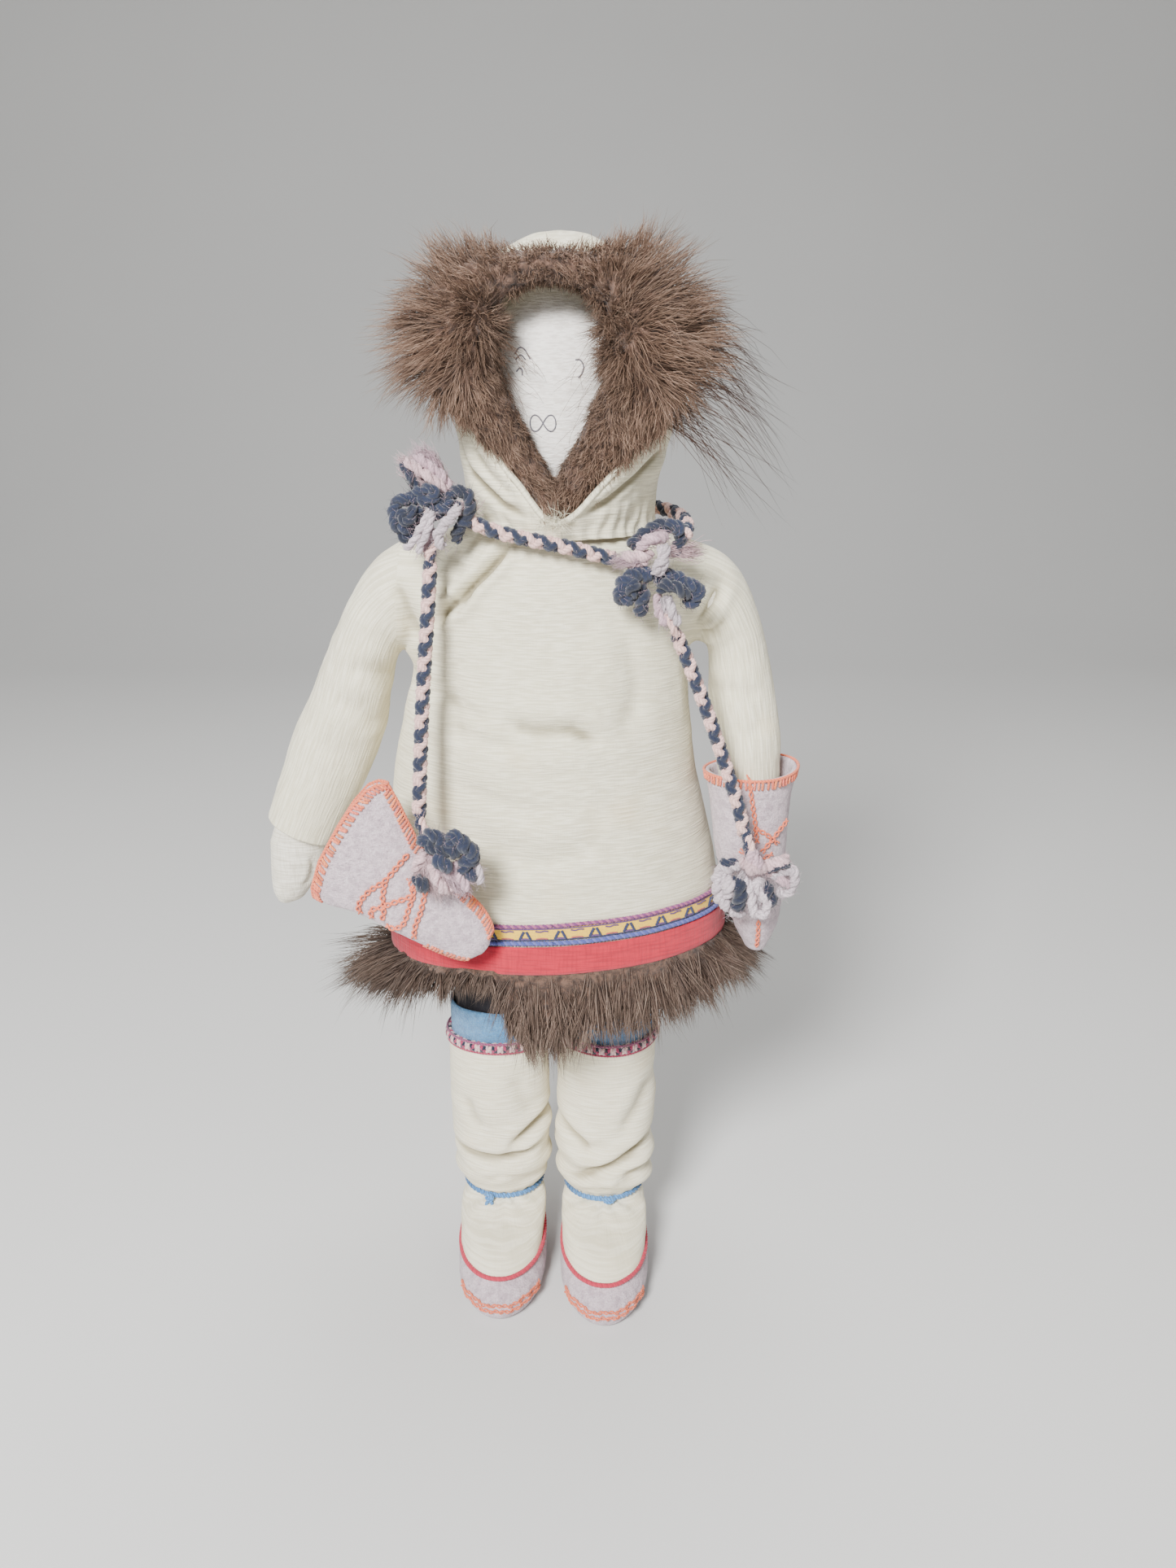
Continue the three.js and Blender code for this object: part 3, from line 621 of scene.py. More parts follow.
HEAD = [(262.2, -2, 13, 12), (268, -4, 18, 17), (282, -5, 22.5, 20), (300, -5, 24, 21), (314, -5, 21, 18.5),
        (323, -5, 13, 12), (326.5, -5, 4, 4)]
HOOD = [(257.5, -2.6, 28.5, 25.2), (262.1, -3, 27.2, 24.2), (272, -3.5, 28.5, 25), (290, -4, 30, 26),
        (306, -4, 30, 26), (320, -4, 26, 23), (330.8, -4, 18.6, 16.4), (336.6, -4, 9.4, 8.4), (338.2, -4, 2, 2)]
RUFF = [(0.6, 268.5, 5.4, 4.6), (-6.8, 277.5, 6.2, 4.6), (-15, 290, 8.5, 6), (-24, 304, 13, 9), (-22, 319, 13, 9),
        (-9, 326, 6.2, 7.2),
        (7, 326.5, 6.2, 7.2), (22, 320, 13, 9), (26, 305, 15, 9), (20, 291, 12, 6), (9.5, 277, 8, 4.5)]


def upright(table, rows, around, centre_y):
    """Level oval rings through rows of (z, half width, half depth, shift in x)."""
    table = spline(table, rows)
    angle = circle(around)
    x = table[:, 3:4] + table[:, 1:2] * np.cos(angle)
    y = centre_y + table[:, 2:3] * np.sin(angle)
    return np.stack([x, y, np.broadcast_to(table[:, :1], x.shape)], -1)


def limb(side, table, rows, around, inset=0.0):
    """Tilted rings down an arm, through rows of outer edge, inner edge, y and half depth."""
    table = spline(table, rows)
    outer, inner = table[:, 0:2], table[:, 2:4]
    middle, half = (outer + inner) / 2, (outer - inner) / 2
    half = half * (1 - inset / np.linalg.norm(half, axis=1, keepdims=True))
    angle = circle(around)
    c, s = np.cos(angle), np.sin(angle)
    x = side * (middle[:, :1] + half[:, :1] * c)
    z = middle[:, 1:] + half[:, 1:] * c
    y = table[:, 4:5] + (table[:, 5:6] - inset) * s
    rings = np.stack([x, y, z], -1)
    return rings[:, ::-1] if side < 0 else rings


def fused(cloth, voxel, smoothing):
    """One even skin round overlapping closed shapes, eased and divided once, in doll millimetres."""
    mesh = bpy.data.meshes.new("rough")
    mesh.from_pydata(np.vstack(cloth.points).tolist(), [], cloth.faces())
    rough = linked("rough", mesh)
    remesh = rough.modifiers.new("remesh", "REMESH")
    remesh.mode = "VOXEL"
    remesh.voxel_size = voxel
    ease = rough.modifiers.new("ease", "SMOOTH")
    ease.factor = 0.5
    ease.iterations = smoothing
    rough.modifiers.new("divide", "SUBSURF").levels = 1
    skin = bpy.data.meshes.new_from_object(rough.evaluated_get(bpy.context.evaluated_depsgraph_get()))
    bpy.data.objects.remove(rough)
    bpy.data.meshes.remove(mesh)
    return skin


def vectors(items, key):
    """One vector of each of a mesh's items, as rows."""
    flat = np.empty(len(items) * 3)
    items.foreach_get(key, flat)
    return flat.reshape(-1, 3)


def stroke(points, line):
    """Distance from points in the XZ plane to a polyline, and how far along it each lies from 0 to 1."""
    line = np.asarray(line, float)
    run = run_along(line)
    best, where = np.full(len(points), 1e9), np.zeros(len(points))
    for a, b, start, end in zip(line[:-1], line[1:], run[:-1], run[1:]):
        t = np.clip(((points - a) @ (b - a)) / ((b - a) @ (b - a)), 0, 1)
        d = np.linalg.norm(points - a - t[:, None] * (b - a), axis=1)
        near = d < best
        best = np.where(near, d, best)
        where = np.where(near, (start + t * (end - start)) / run[-1], where)
    return best, where


def folded(points, normals, folds, facing=-1, wrap=0.25):
    """How far cloth moves along its normal: each fold is (depth, width, line) with a soft ridge beside it."""
    move = np.zeros(len(points))
    seen = np.clip(facing * normals[:, 1] * 1.6 + wrap, 0, 1)
    for depth, width, line in folds:
        d, t = stroke(points[:, [0, 2]], line)
        fade = np.clip(t / 0.2, 0, 1) * np.clip((1 - t) / 0.2, 0, 1) * 0.85 + 0.15
        valley = np.exp(-((d / width) ** 2))
        ridge = np.exp(-(((d - 2.3 * width) / (1.3 * width)) ** 2))
        move += fade * depth * (0.4 * ridge - valley)
    return move * seen


def lip(bm, edges, depth, along):
    """Turns an open edge inwards: a rounded fold and then a facing along the inside."""
    edges = [e for e in edges if e.is_valid and e.is_boundary]
    for shrink, climb in ((0.35, -0.3), (0.75, 0.0), (0.25, 0.8), (0.1, depth)):
        verts = dict.fromkeys(v for e in edges for v in e.verts)
        middle = sum((v.co for v in verts), Vector()) / len(verts)
        made = bmesh.ops.extrude_edge_only(bm, edges=edges)["geom"]
        edges = [g for g in made if isinstance(g, bmesh.types.BMEdge)]
        for v in dict.fromkeys(v for e in edges for v in e.verts):
            out = v.co - middle
            out -= along * out.dot(along)
            out.normalize()
            v.co = v.co - out * shrink - along * climb


def cut(bm, where, place, normal, clear=False):
    """Bisects the part of a mesh that where() picks, and returns the new edges; clear drops what is beyond them."""
    faces = [f for f in bm.faces if where(f.calc_center_median())]
    geom = [*dict.fromkeys(v for f in faces for v in f.verts), *dict.fromkeys(e for f in faces for e in f.edges),
            *faces]
    made = bmesh.ops.bisect_plane(bm, geom=geom, dist=1e-4, plane_co=place, plane_no=normal, clear_outer=clear)
    return [g for g in made["geom_cut"] if isinstance(g, bmesh.types.BMEdge)]


def flooded(start, walls):
    """All faces reached from one face without crossing the given edges."""
    seen, queue = {start}, [start]
    while queue:
        for edge in queue.pop().edges:
            if edge in walls:
                continue
            for face in edge.link_faces:
                if face not in seen:
                    seen.add(face)
                    queue.append(face)
    return seen


def taken(bm, name, keep):
    """A mesh of some of the faces of a bmesh."""
    part = bm.copy()
    index = {f.index for f in keep}
    part.faces.ensure_lookup_table()
    bmesh.ops.delete(part, geom=[f for f in part.faces if f.index not in index], context="FACES")
    mesh = bpy.data.meshes.new(name)
    part.to_mesh(mesh)
    part.free()
    return mesh


def dress(mesh, weave):
    """Gives a mesh its cloth coordinates, smooth shading and its place in metres."""
    points = vectors(mesh.vertices, "co")
    along = weave(points) / 1000
    depth = np.empty(len(points))
    mesh.attributes["crease_shade"].data.foreach_get("value", depth)
    # The weave's third part carries the painted crease shade.
    along[:, 2] = depth
    attribute = mesh.attributes.new("weave", "FLOAT_VECTOR", "POINT")
    attribute.data.foreach_set("vector", along.ravel())
    mesh.vertices.foreach_set("co", metres(points).ravel())
    mesh.polygons.foreach_set("use_smooth", np.ones(len(mesh.polygons), bool))
    mesh.update()
    return mesh


def body_weave(points):
    """Cloth coordinates of the parka's body: round it and up it, with the crosswise ribs a little uneven."""
    around = np.arctan2(points[:, 0], -(points[:, 1] + 2)) * 44
    return np.stack([around, points[:, 2] + 0.35 * noise(points / 9, 3), np.zeros(len(points))], -1)


def sleeve_weave(side, table):
    """Cloth coordinates of a sleeve: its ribs run down the arm."""
    table = spline(table, 120)
    centre = (table[:, 0:2] + table[:, 2:4]) / 2 * [side, 1]
    along = unit(np.gradient(centre, axis=0))
    run = run_along(centre)

    def weave(points):
        flat = points[:, [0, 2]]
        near = np.argmin(((flat[:, None] - centre[None]) ** 2).sum(-1), axis=1)
        off = flat - centre[near]
        t = (off * along[near]).sum(1)
        across = (off[:, 0] * along[near, 1] - off[:, 1] * along[near, 0]) * -side
        return np.stack([run[near] + t, 238 + across + 0.3 * noise(points / 8, 5), points[:, 1] * 0], -1)

    return weave


# Folds are (depth, width, line in x and z), in millimetres.
FRONT_FOLDS = [
    (3.4, 1.25, [(-11.3, 256.6), (-18, 249), (-25.6, 241.6), (-31.6, 235.8), (-34.7, 231.2)]),
    (1.9, 1.2, [(-23.1, 242.4), (-26, 238.6), (-29.1, 235)]),
    (1.4, 1.0, [(-32.5, 244.1), (-29.8, 239.1), (-32.7, 238.3)]),
    (1.9, 1.9, [(-47.6, 245.3), (-43.9, 238.3), (-41.8, 229.9), (-40.4, 224)]),
    (2.9, 1.3, [(-40.4, 224), (-42.4, 218), (-46.1, 211), (-48.1, 205.7)]),
    (0.9, 2.6, [(-38.4, 212.8), (-28.4, 209.3), (-19.2, 204.9)]),
    (2.3, 2.6, [(-15.8, 204.9), (-5.6, 202.6), (5.5, 202.6), (14.9, 197.7)]),
    (1.1, 2.4, [(-21.1, 198.6), (-7.4, 197.7), (6.3, 196.8)]),
    (0.8, 2.6, [(-34.6, 204.9), (-24.5, 200.4), (-17.7, 196.8)]),
    (1.0, 3.6, [(-26, 168), (-6, 163), (16, 166)]),
    (0.8, 3.0, [(-30, 186), (-16, 180), (2, 178)]),
    (1.1, 3.4, [(20, 232), (24, 215), (22, 200)]),
    (1.0, 3.0, [(-28, 226), (-30, 212), (-26, 196)]),
    (2.2, 1.6, [(40.2, 225.7), (41.3, 216.2), (42, 208.4), (43.1, 200.4)]),
    (2.3, 1.6, [(49.5, 243.7), (45.3, 235), (41.4, 228.2)]),
    (1.8, 1.5, [(51.2, 232.4), (46.4, 228.2), (42.3, 226.5)]),
    (0.8, 1.9, [(36.8, 229.9), (38.4, 216.2), (40.6, 198.6)]),
    (0.9, 2.6, [(-64, 217.5), (-55.1, 216.2), (-48, 212.8)]),
    (0.9, 2.6, [(-68, 208.5), (-58.8, 204), (-53, 197)]),
    (0.8, 3.0, [(-74, 196), (-66, 190), (-62, 182)]),
    (0.9, 2.0, [(46.2, 209.3), (53.8, 211), (62.6, 209.3)]),
    (0.7, 2.2, [(50, 200), (57, 198), (64, 201)]),
]
BACK_FOLDS = [
    (1.6, 1.9, [(-39, 224), (-33, 231), (-24, 238), (-16, 241)]),
    (1.5, 1.9, [(38, 226), (31, 233), (22, 239)]),
    (1.0, 2.6, [(-41, 212), (-30, 207), (-20, 206)]),
    (1.0, 2.6, [(40, 214), (28, 208), (18, 208)]),
    (1.1, 4.2, [(-20, 190), (0, 184), (18, 188)]),
    (0.8, 4.5, [(-30, 165), (-10, 160), (12, 163), (30, 158)]),
    (1.2, 1.9, [(-47, 240), (-43, 230), (-41, 222)]),
    (1.2, 1.9, [(48, 240), (44, 231), (42, 224)]),
    (0.9, 2.4, [(-64, 214), (-56, 209), (-51, 203)]),
    (0.8, 2.4, [(-74, 194), (-67, 188), (-63, 180)]),
    (0.9, 2.2, [(64, 213), (56, 208), (50, 203)]),
]


PARKA_VOXEL = 1.5
# Where each sleeve is split from the body: a point of the plane, its normal, and a point a little further out, given
# as the end of the sleeve's blend span.
ARMHOLES = {
    -1: ((-45, 0, 262), (-0.9978, 0, 0.0665), (-48, 0, 262.2)),
    1: ((44.2, 0, 240), (1, 0, 0), (46.6, 0, 240)),
}


def make_parka():
    """The parka: body and sleeves in one cloth, cut open at hem, neck and cuffs, and split at the armholes."""
    solid = Cloth()
    solid.grid(upright(PARKA, 60, 90, PARKA_Y)[:, ::-1], caps=(True, True))
    ends = {}
    for side, table in ((-1, RIGHT_SLEEVE), (1, LEFT_SLEEVE)):
        last, before = np.array(table[-1]), np.array(table[-2])
        beyond = last + (last - before) * (6 / np.linalg.norm((last - before)[:2]))
        solid.grid(limb(side, table + [tuple(beyond)], 60, 48), caps=(True, True))
        outer, inner = Vector((side * last[0], 0, last[1])), Vector((side * last[2], 0, last[3]))
        down = (inner - outer).cross(Vector((0, 1, 0))).normalized()
        if down.z > 0:
            down.negate()
        ends[side] = (outer, down)
    mesh = fused(solid, PARKA_VOXEL, 14)
    mesh.update()
    points, normals = vectors(mesh.vertices, "co"), vectors(mesh.vertex_normals, "vector")
    calm = np.where(np.abs(points[:, 0]) > 56, 1, ramp(points[:, 2], 143, 14))
    move = folded(points, normals, FRONT_FOLDS) + folded(points, normals, BACK_FOLDS, 1)
    # How deep each point lies in a fold, kept for the painted shade in the creases.
    crease_shade = mesh.attributes.new("crease_shade", "FLOAT", "POINT")
    crease_shade.data.foreach_set("value", np.clip(-move / 3.0 - 0.12, 0, 1) * calm)
    move += 0.55 * fractal(points / [21, 21, 13], 21) + 0.16 * fractal(points / 4.5, 31, 2)
    points += normals * (move * calm)[:, None]
    mesh.vertices.foreach_set("co", points.ravel())
    bm = bmesh.new()
    bm.from_mesh(mesh)
    bpy.data.meshes.remove(mesh)
    up = Vector((0, 0, 1))
    below = Vector((HEM_TILT, 0, -1)).normalized()
    hem = cut(bm, lambda c: c.z < 130 and abs(c.x) < 58, Vector((0, 0, 126)), below, True)
    cut(bm, lambda c: c.z > 257, Vector((0, 0, 261)), up, True)
    near = {-1: lambda c: c.x < -58 and c.z < 185, 1: lambda c: c.x > 49.7 and c.y < -5.5 and 168 < c.z < 186}
    cuffs = {side: cut(bm, near[side], *ends[side], True) for side in (-1, 1)}
    walls = set()
    for side, (place, normal, _) in ARMHOLES.items():
        walls |= set(cut(bm, lambda c: c.z > 213 and side * c.x > 36, Vector(place), Vector(normal)))
    lip(bm, hem, 6, -up)
    for side, edges in cuffs.items():
        lip(bm, edges, 9, ends[side][1])
    bmesh.ops.recalc_face_normals(bm, faces=bm.faces)
    bm.faces.ensure_lookup_table()
    bm.faces.index_update()
    sleeves = {}
    for side, (outer, _) in ends.items():
        start = min(bm.faces, key=lambda f: (f.calc_center_median() - outer).length)
        sleeves[side] = flooded(start, walls)
    rest = [f for f in bm.faces if f not in sleeves[-1] and f not in sleeves[1]]
    body = dress(taken(bm, "parka_cloth", rest), body_weave)
    finish_piece("parka_cloth", body, COTTON, "torso", ("parka_body",))
    for side, word, table in ((-1, "right", RIGHT_SLEEVE), (1, "left", LEFT_SLEEVE)):
        start, _, end = ARMHOLES[side]
        mesh = dress(taken(bm, word + "_sleeve_cloth", sleeves[side]), sleeve_weave(side, table))
        finish_piece(word + "_sleeve_cloth", mesh, COTTON, None, (word + "_sleeve",),
                     ("torso", word + "_arm", spot(*start), spot(*end)))
    bm.free()


def laid(tree, line, lift, spacing):
    """A line in the XZ plane laid on the front of a surface, lifted a little off it."""
    points = []
    for x, z in even(line, spacing):
        hit, normal, _, _ = tree.ray_cast(Vector((x, -90, z)), Vector((0, 1, 0)))
        if hit is None:
            hit, normal, _, _ = tree.find_nearest(Vector((x, -45, z)))
        if normal.y > 0:
            normal = -normal
        points.append(hit + normal * lift)
    return np.array([tuple(p) for p in points])


def even(line, spacing=0.3):
    """A smooth line through points, sampled every so many millimetres."""
    line = np.asarray(line, float)
    return spline(line, max(4, int(length_of(line) / spacing)))


def chain_stitch(cloth, line, width, radius, link=2.3, shade=ORANGE, seed=0):
    """Looped links sewn along a line."""
    line = np.asarray(line)
    run = run_along(line)
    tangent = unit(np.gradient(line, axis=0))
    side = unit(np.cross(tangent, [0.05, -1, 0.05]))
    swing = width * np.sin(np.pi * run / link + seed)
    for sign in (-1, 1):
        bob = 0.14 * sign * np.cos(np.pi * run / link + seed)
        path = line + side * (sign * swing)[:, None] + np.array([0, -1, 0]) * (bob + 0.12)[:, None]
        tint = shade * (1 + 0.12 * math.sin(seed * 7 + sign))
        cloth.tube(path, radius, 6, lobes=2, depth=0.12, twist=0.5, colour=tint)


def blanket_stitch(cloth, edge, inner, spacing, radius, seed):
    """Threads over an edge: edge and inner are matching lines, joined by short bars, with a thread along the edge."""
    rng = np.random.default_rng(seed)
    run = run_along(edge)
    for at in np.arange(spacing / 2, run[-1], spacing):
        i = int(np.clip(np.searchsorted(run, at + rng.uniform(-0.2, 0.2)), 0, len(run) - 1))
        j = int(np.clip(i + rng.integers(-1, 2), 0, len(run) - 1))
        a, b = edge[i], inner[j]
        middle = (a + b) / 2 + [0, -0.25, 0]
        tint = ORANGE * rng.uniform(0.85, 1.25) * [1, rng.uniform(0.95, 1.3), rng.uniform(0.95, 1.5)]
        thick = radius * rng.uniform(0.85, 1.15)
        cloth.tube(even([a, middle, b], 0.35), thick, 6, lobes=2, twist=0.5, colour=np.clip(tint, 0, 1))
    cloth.tube(edge, radius * 1.15, 6, lobes=2, twist=0.5, colour=ORANGE)


def two_ply(cloth, line, turns, reach, radius, sides, shades, **extra):
    """Two strands twisted round each other along a closed line."""
    _, a, b = frames(line, True)
    for ply, shade in enumerate(shades):
        turn = circle(len(line)) * turns + ply * np.pi
        path = line + reach * (np.cos(turn)[:, None] * a + np.sin(turn)[:, None] * b)
        cloth.tube(path, radius, sides, closed=True, colour=shade, **extra)


def pressed(tree, points, out, reach, lift):
    """Points brought to the nearest place on a surface, seen from reach further out, and lifted off it."""
    return np.array([np.array(tree.find_nearest(Vector(p + d * reach))[0]) + d * lift
                     for p, d in zip(points, out)])


# ---- Parka, sleeves and hem

make_parka()


def hem_ring(z, out, count=320):
    """A ring round the parka at a height, tilted as the hem is, a little way off its cloth."""
    dense = spline(PARKA, 300)
    a, b, cx = (np.interp(z, dense[:, 0], dense[:, k]) for k in (1, 2, 3))
    angle = circle(count) - np.pi / 2
    x = cx + (a + out) * np.cos(angle)
    return np.stack([x, PARKA_Y + (b + out) * np.sin(angle), z + HEM_TILT * x], -1)


def hem_tape():
    """The broad red tape, its edge turned under."""
    band = Cloth()
    profile = [(134.9, 0.35), (135.4, 0.7), (134.6, 1.05), (132, 1.2), (129, 1.25), (127, 1.2), (125.9, 0.9),
               (125.5, 0.2), (125.9, -0.6), (128, -0.9)]
    rows = []
    for z, out in spline(profile, 36):
        ring = hem_ring(z, out)
        swell = 0.14 * noise(ring / [7, 7, 30], 44) + 0.07 * noise(ring / 2.4, 45)
        ring[:, 2] += 0.25 * noise(ring / [16, 16, 60], 46)
        rows.append(ring + unit(ring * [1, 1, 0] + [0, 2, 0]) * swell[:, None])
    band.grid(np.array(rows)[::-1])
    band.piece("hem_tape_red", RED_TAPE, "torso", "red_cotton", ("hem_band_red",))


def hem_thread(word, z, out, radius, shades, seed):
    """A twisted decorative thread round the hem."""
    thread = Cloth()
    line = hem_ring(z, out, 700)
    line[:, 2] += 0.18 * noise(line / [9, 9, 50], seed)
    two_ply(thread, line, 150, 0.42 * radius, radius * 0.6, 6, shades)
    thread.piece("hem_thread_" + word, THREAD, "torso", word + "_cord", ("hem_cord_" + word,))


RIBBON = spun("woven_ribbon", 0.62, 0.6, 0.25, 1900.0)
RIBBON_NAVY, RIBBON_PLUM, RIBBON_RUST = dye(40, 48, 86), dye(96, 62, 110), dye(168, 78, 80)
RIBBON_MOTIF = [  # colour, radius, sides, and points along the ribbon and up it
    (RIBBON_PLUM, 0.3, 6, [(-1.9, -1.5), (0, -1.25), (1.9, -1.5)]),
    (RIBBON_PLUM, 0.26, 5, [(3.2, 1.3), (4.6, 1.0), (5.8, 1.3), (7.2, 1.15)]),
    (RIBBON_RUST, 0.24, 5, [(3.4, -1.35), (5.2, -1.2), (7.0, -1.4)]),
]
RIBBON_PITCH = 10.5


def hem_ribbon():
    """The yellow ribbon with dark arches and dashes woven along it, and its two dark edges."""
    ribbon = Cloth()
    profile = [(137.3, 0.2), (137.35, 0.55), (139.3, 0.62), (141.35, 0.55), (141.4, 0.2)]
    ribbon.grid(np.array([hem_ring(z, out, 420) for z, out in spline(profile, 14)]), colour=linear(238, 192, 62))
    for z, shade, radius in ((137.55, RIBBON_NAVY, 0.2), (141.2, RIBBON_PLUM, 0.24)):
        ribbon.tube(hem_ring(z, 0.66, 700), radius, 5, closed=True, colour=shade)
    dense = hem_ring(139.3, 0.72, 2400)
    run = run_along(dense)
    motifs = round(run[-1] / RIBBON_PITCH)
    pitch = run[-1] / motifs

    def at(s, dz):
        x, y, z = (np.interp(s % run[-1], run, dense[:, k]) for k in range(3))
        return np.array([x, y, z + dz])

    for k in range(motifs):
        s = k * pitch + 2.0
        for foot, slant in ((-1.7, 1.0), (1.7, -1.0)):
            stem = [at(s + foot, -1.5), at(s + foot + 0.7 * slant, 0.0), at(s + foot + 1.3 * slant, 1.15)]
            ribbon.tube(even(stem, 0.25), 0.46, 6, lobes=2, twist=0.6, colour=RIBBON_NAVY)
        for shade, radius, sides, points in RIBBON_MOTIF:
            ribbon.tube(even([at(s + ds, dz) for ds, dz in points]), radius, sides, colour=shade)
    ribbon.piece("hem_ribbon_cloth", RIBBON, "torso", "yellow_ribbon", ("hem_ribbon_yellow",))


hem_tape()
hem_thread("blue", 136.4, 0.75, 0.85, (dye(72, 80, 150), dye(96, 100, 168)), 51)
hem_thread("purple", 142.2, 0.65, 0.72, (dye(120, 58, 112), dye(168, 92, 130)), 52)
hem_ribbon()


# ---- Head and hood

PENCIL = np.array([0.16, 0.16, 0.2])
EYE_MARKS = [  # x and z
    [(-9.6, 306.0), (-8.4, 307.6), (-6.9, 307.2), (-5.4, 304.7)],
    [(-9.4, 304.6), (-8.0, 305.8), (-6.6, 304.6)],
    [(-9.2, 301.6), (-8.3, 302.5), (-7.6, 301.9), (-7.6, 300.6)],
    [(6.6, 304.6), (7.9, 304.5), (8.8, 303.0), (8.4, 301.2), (7.4, 300.0)],
]


def oval(table, rows, around, centre_x):
    """Level oval rings through rows of (z, y, half width, half depth)."""
    angle = circle(around)
    return np.array([np.stack([centre_x + a * np.cos(angle), y + b * np.sin(angle), np.full(around, z)], -1)
                     for z, y, a, b in spline(table, rows)])


def make_head():
    """The stuffed muslin head with its pencil drawing."""
    head = Cloth()
    rows = oval(HEAD, 80, 96, 1)
    flat = rows.reshape(-1, 3)
    out = unit(flat - [1, -5, 295])
    flat += out * (0.35 * fractal(flat / 11, 61))[:, None]
    head.grid(rows, caps=(True, True))
    tree = head.surface()
    for line in EYE_MARKS:
        head.tube(laid(tree, line, 0.02, 0.2), 0.2, 5, colour=PENCIL)
    t = np.linspace(0, 2 * np.pi, 91)
    curl = 1 + np.sin(t) ** 2
    mouth = np.stack([3.5 * np.cos(t) / curl - 2.2, 6.0 * np.sin(t) * np.cos(t) / curl + 288.4], -1)
    path = np.vstack([laid(tree, mouth[i:i + 2], 0.03, 0.4)[:1] for i in range(len(mouth) - 1)])
    head.tube(path, 0.21, 5, closed=True, colour=PENCIL)
    piece = head.piece("head_cloth", drawn_muslin(), "head", "muslin", ("head_cover",))


def drawn_muslin():
    """The face cloth: fine level threads, with the pencil marks in its tone."""
    m = Nodes("face_muslin", 0.93, 0.12)
    place = m.place()
    tone = m.attribute("tone").outputs["Color"]
    thread = m.noise(m.scaled(place, (420, 420, 2100)), 1.0, 2.0, 0.5)
    warp = m.noise(m.scaled(place, (2100, 2100, 350)), 1.0, 2.0, 0.5)
    slub = m.noise(m.scaled(place, (240, 240, 1300)), 1.0, 3.0, 0.6)
    shade = m.layer(linear(236, 231, 224), thread, 0.42, 0.64, 0.55, linear(196, 186, 176))
    shade = m.layer(shade, slub, 0.5, 0.7, 0.22, linear(204, 192, 182))
    m.colour(m.mix(1.0, shade, tone, "MULTIPLY"))
    m.bump(m.weighted((thread, 1), (slub, 1), (warp, 0.4)), 0.00022, 0.9)
    return m.material


make_head()

OPENING = [(1.2, 262.4), (-2.6, 264.6), (-8, 271.6), (-14, 279.4), (-18, 290), (-19.5, 304), (-15, 318), (-5, 325.5),
           (7, 326.5), (18, 320), (24.5, 309), (27.5, 298), (28.8, 289), (22, 280.6), (13.5, 272), (6.3, 264.5)]


HOOD_FRONT_FOLDS = [
    (1.8, 1.2, [(-27, 284), (-22, 275), (-13, 267), (-5, 264)]),
    (0.9, 1.2, [(-20, 283), (-15, 275), (-8, 267.5)]),
    (1.9, 1.2, [(30, 282), (22, 274), (14, 268), (8, 264.5)]),
    (0.9, 1.3, [(27, 275), (20, 268.5), (13, 265)]),
    (1.2, 1.8, [(-31, 272), (-28, 266), (-24, 262)]),
]
HOOD_BACK_FOLDS = [(1.0, 2.2, [(-14, 300), (-4, 292), (10, 296)]), (1.1, 2.4, [(-20, 276), (0, 270), (22, 275)])]


def inside(points, outline):
    """Which points lie inside a closed outline."""
    x, z = points[:, 0], points[:, 1]
    odd = np.zeros(len(points), bool)
    for (x1, z1), (x2, z2) in zip(outline, np.roll(outline, -1, 0)):
        crosses = (z1 > z) != (z2 > z)
        at = x1 + (z - z1) / (z2 - z1 + 1e-12) * (x2 - x1)
        odd ^= crosses & (x < at)
    return odd


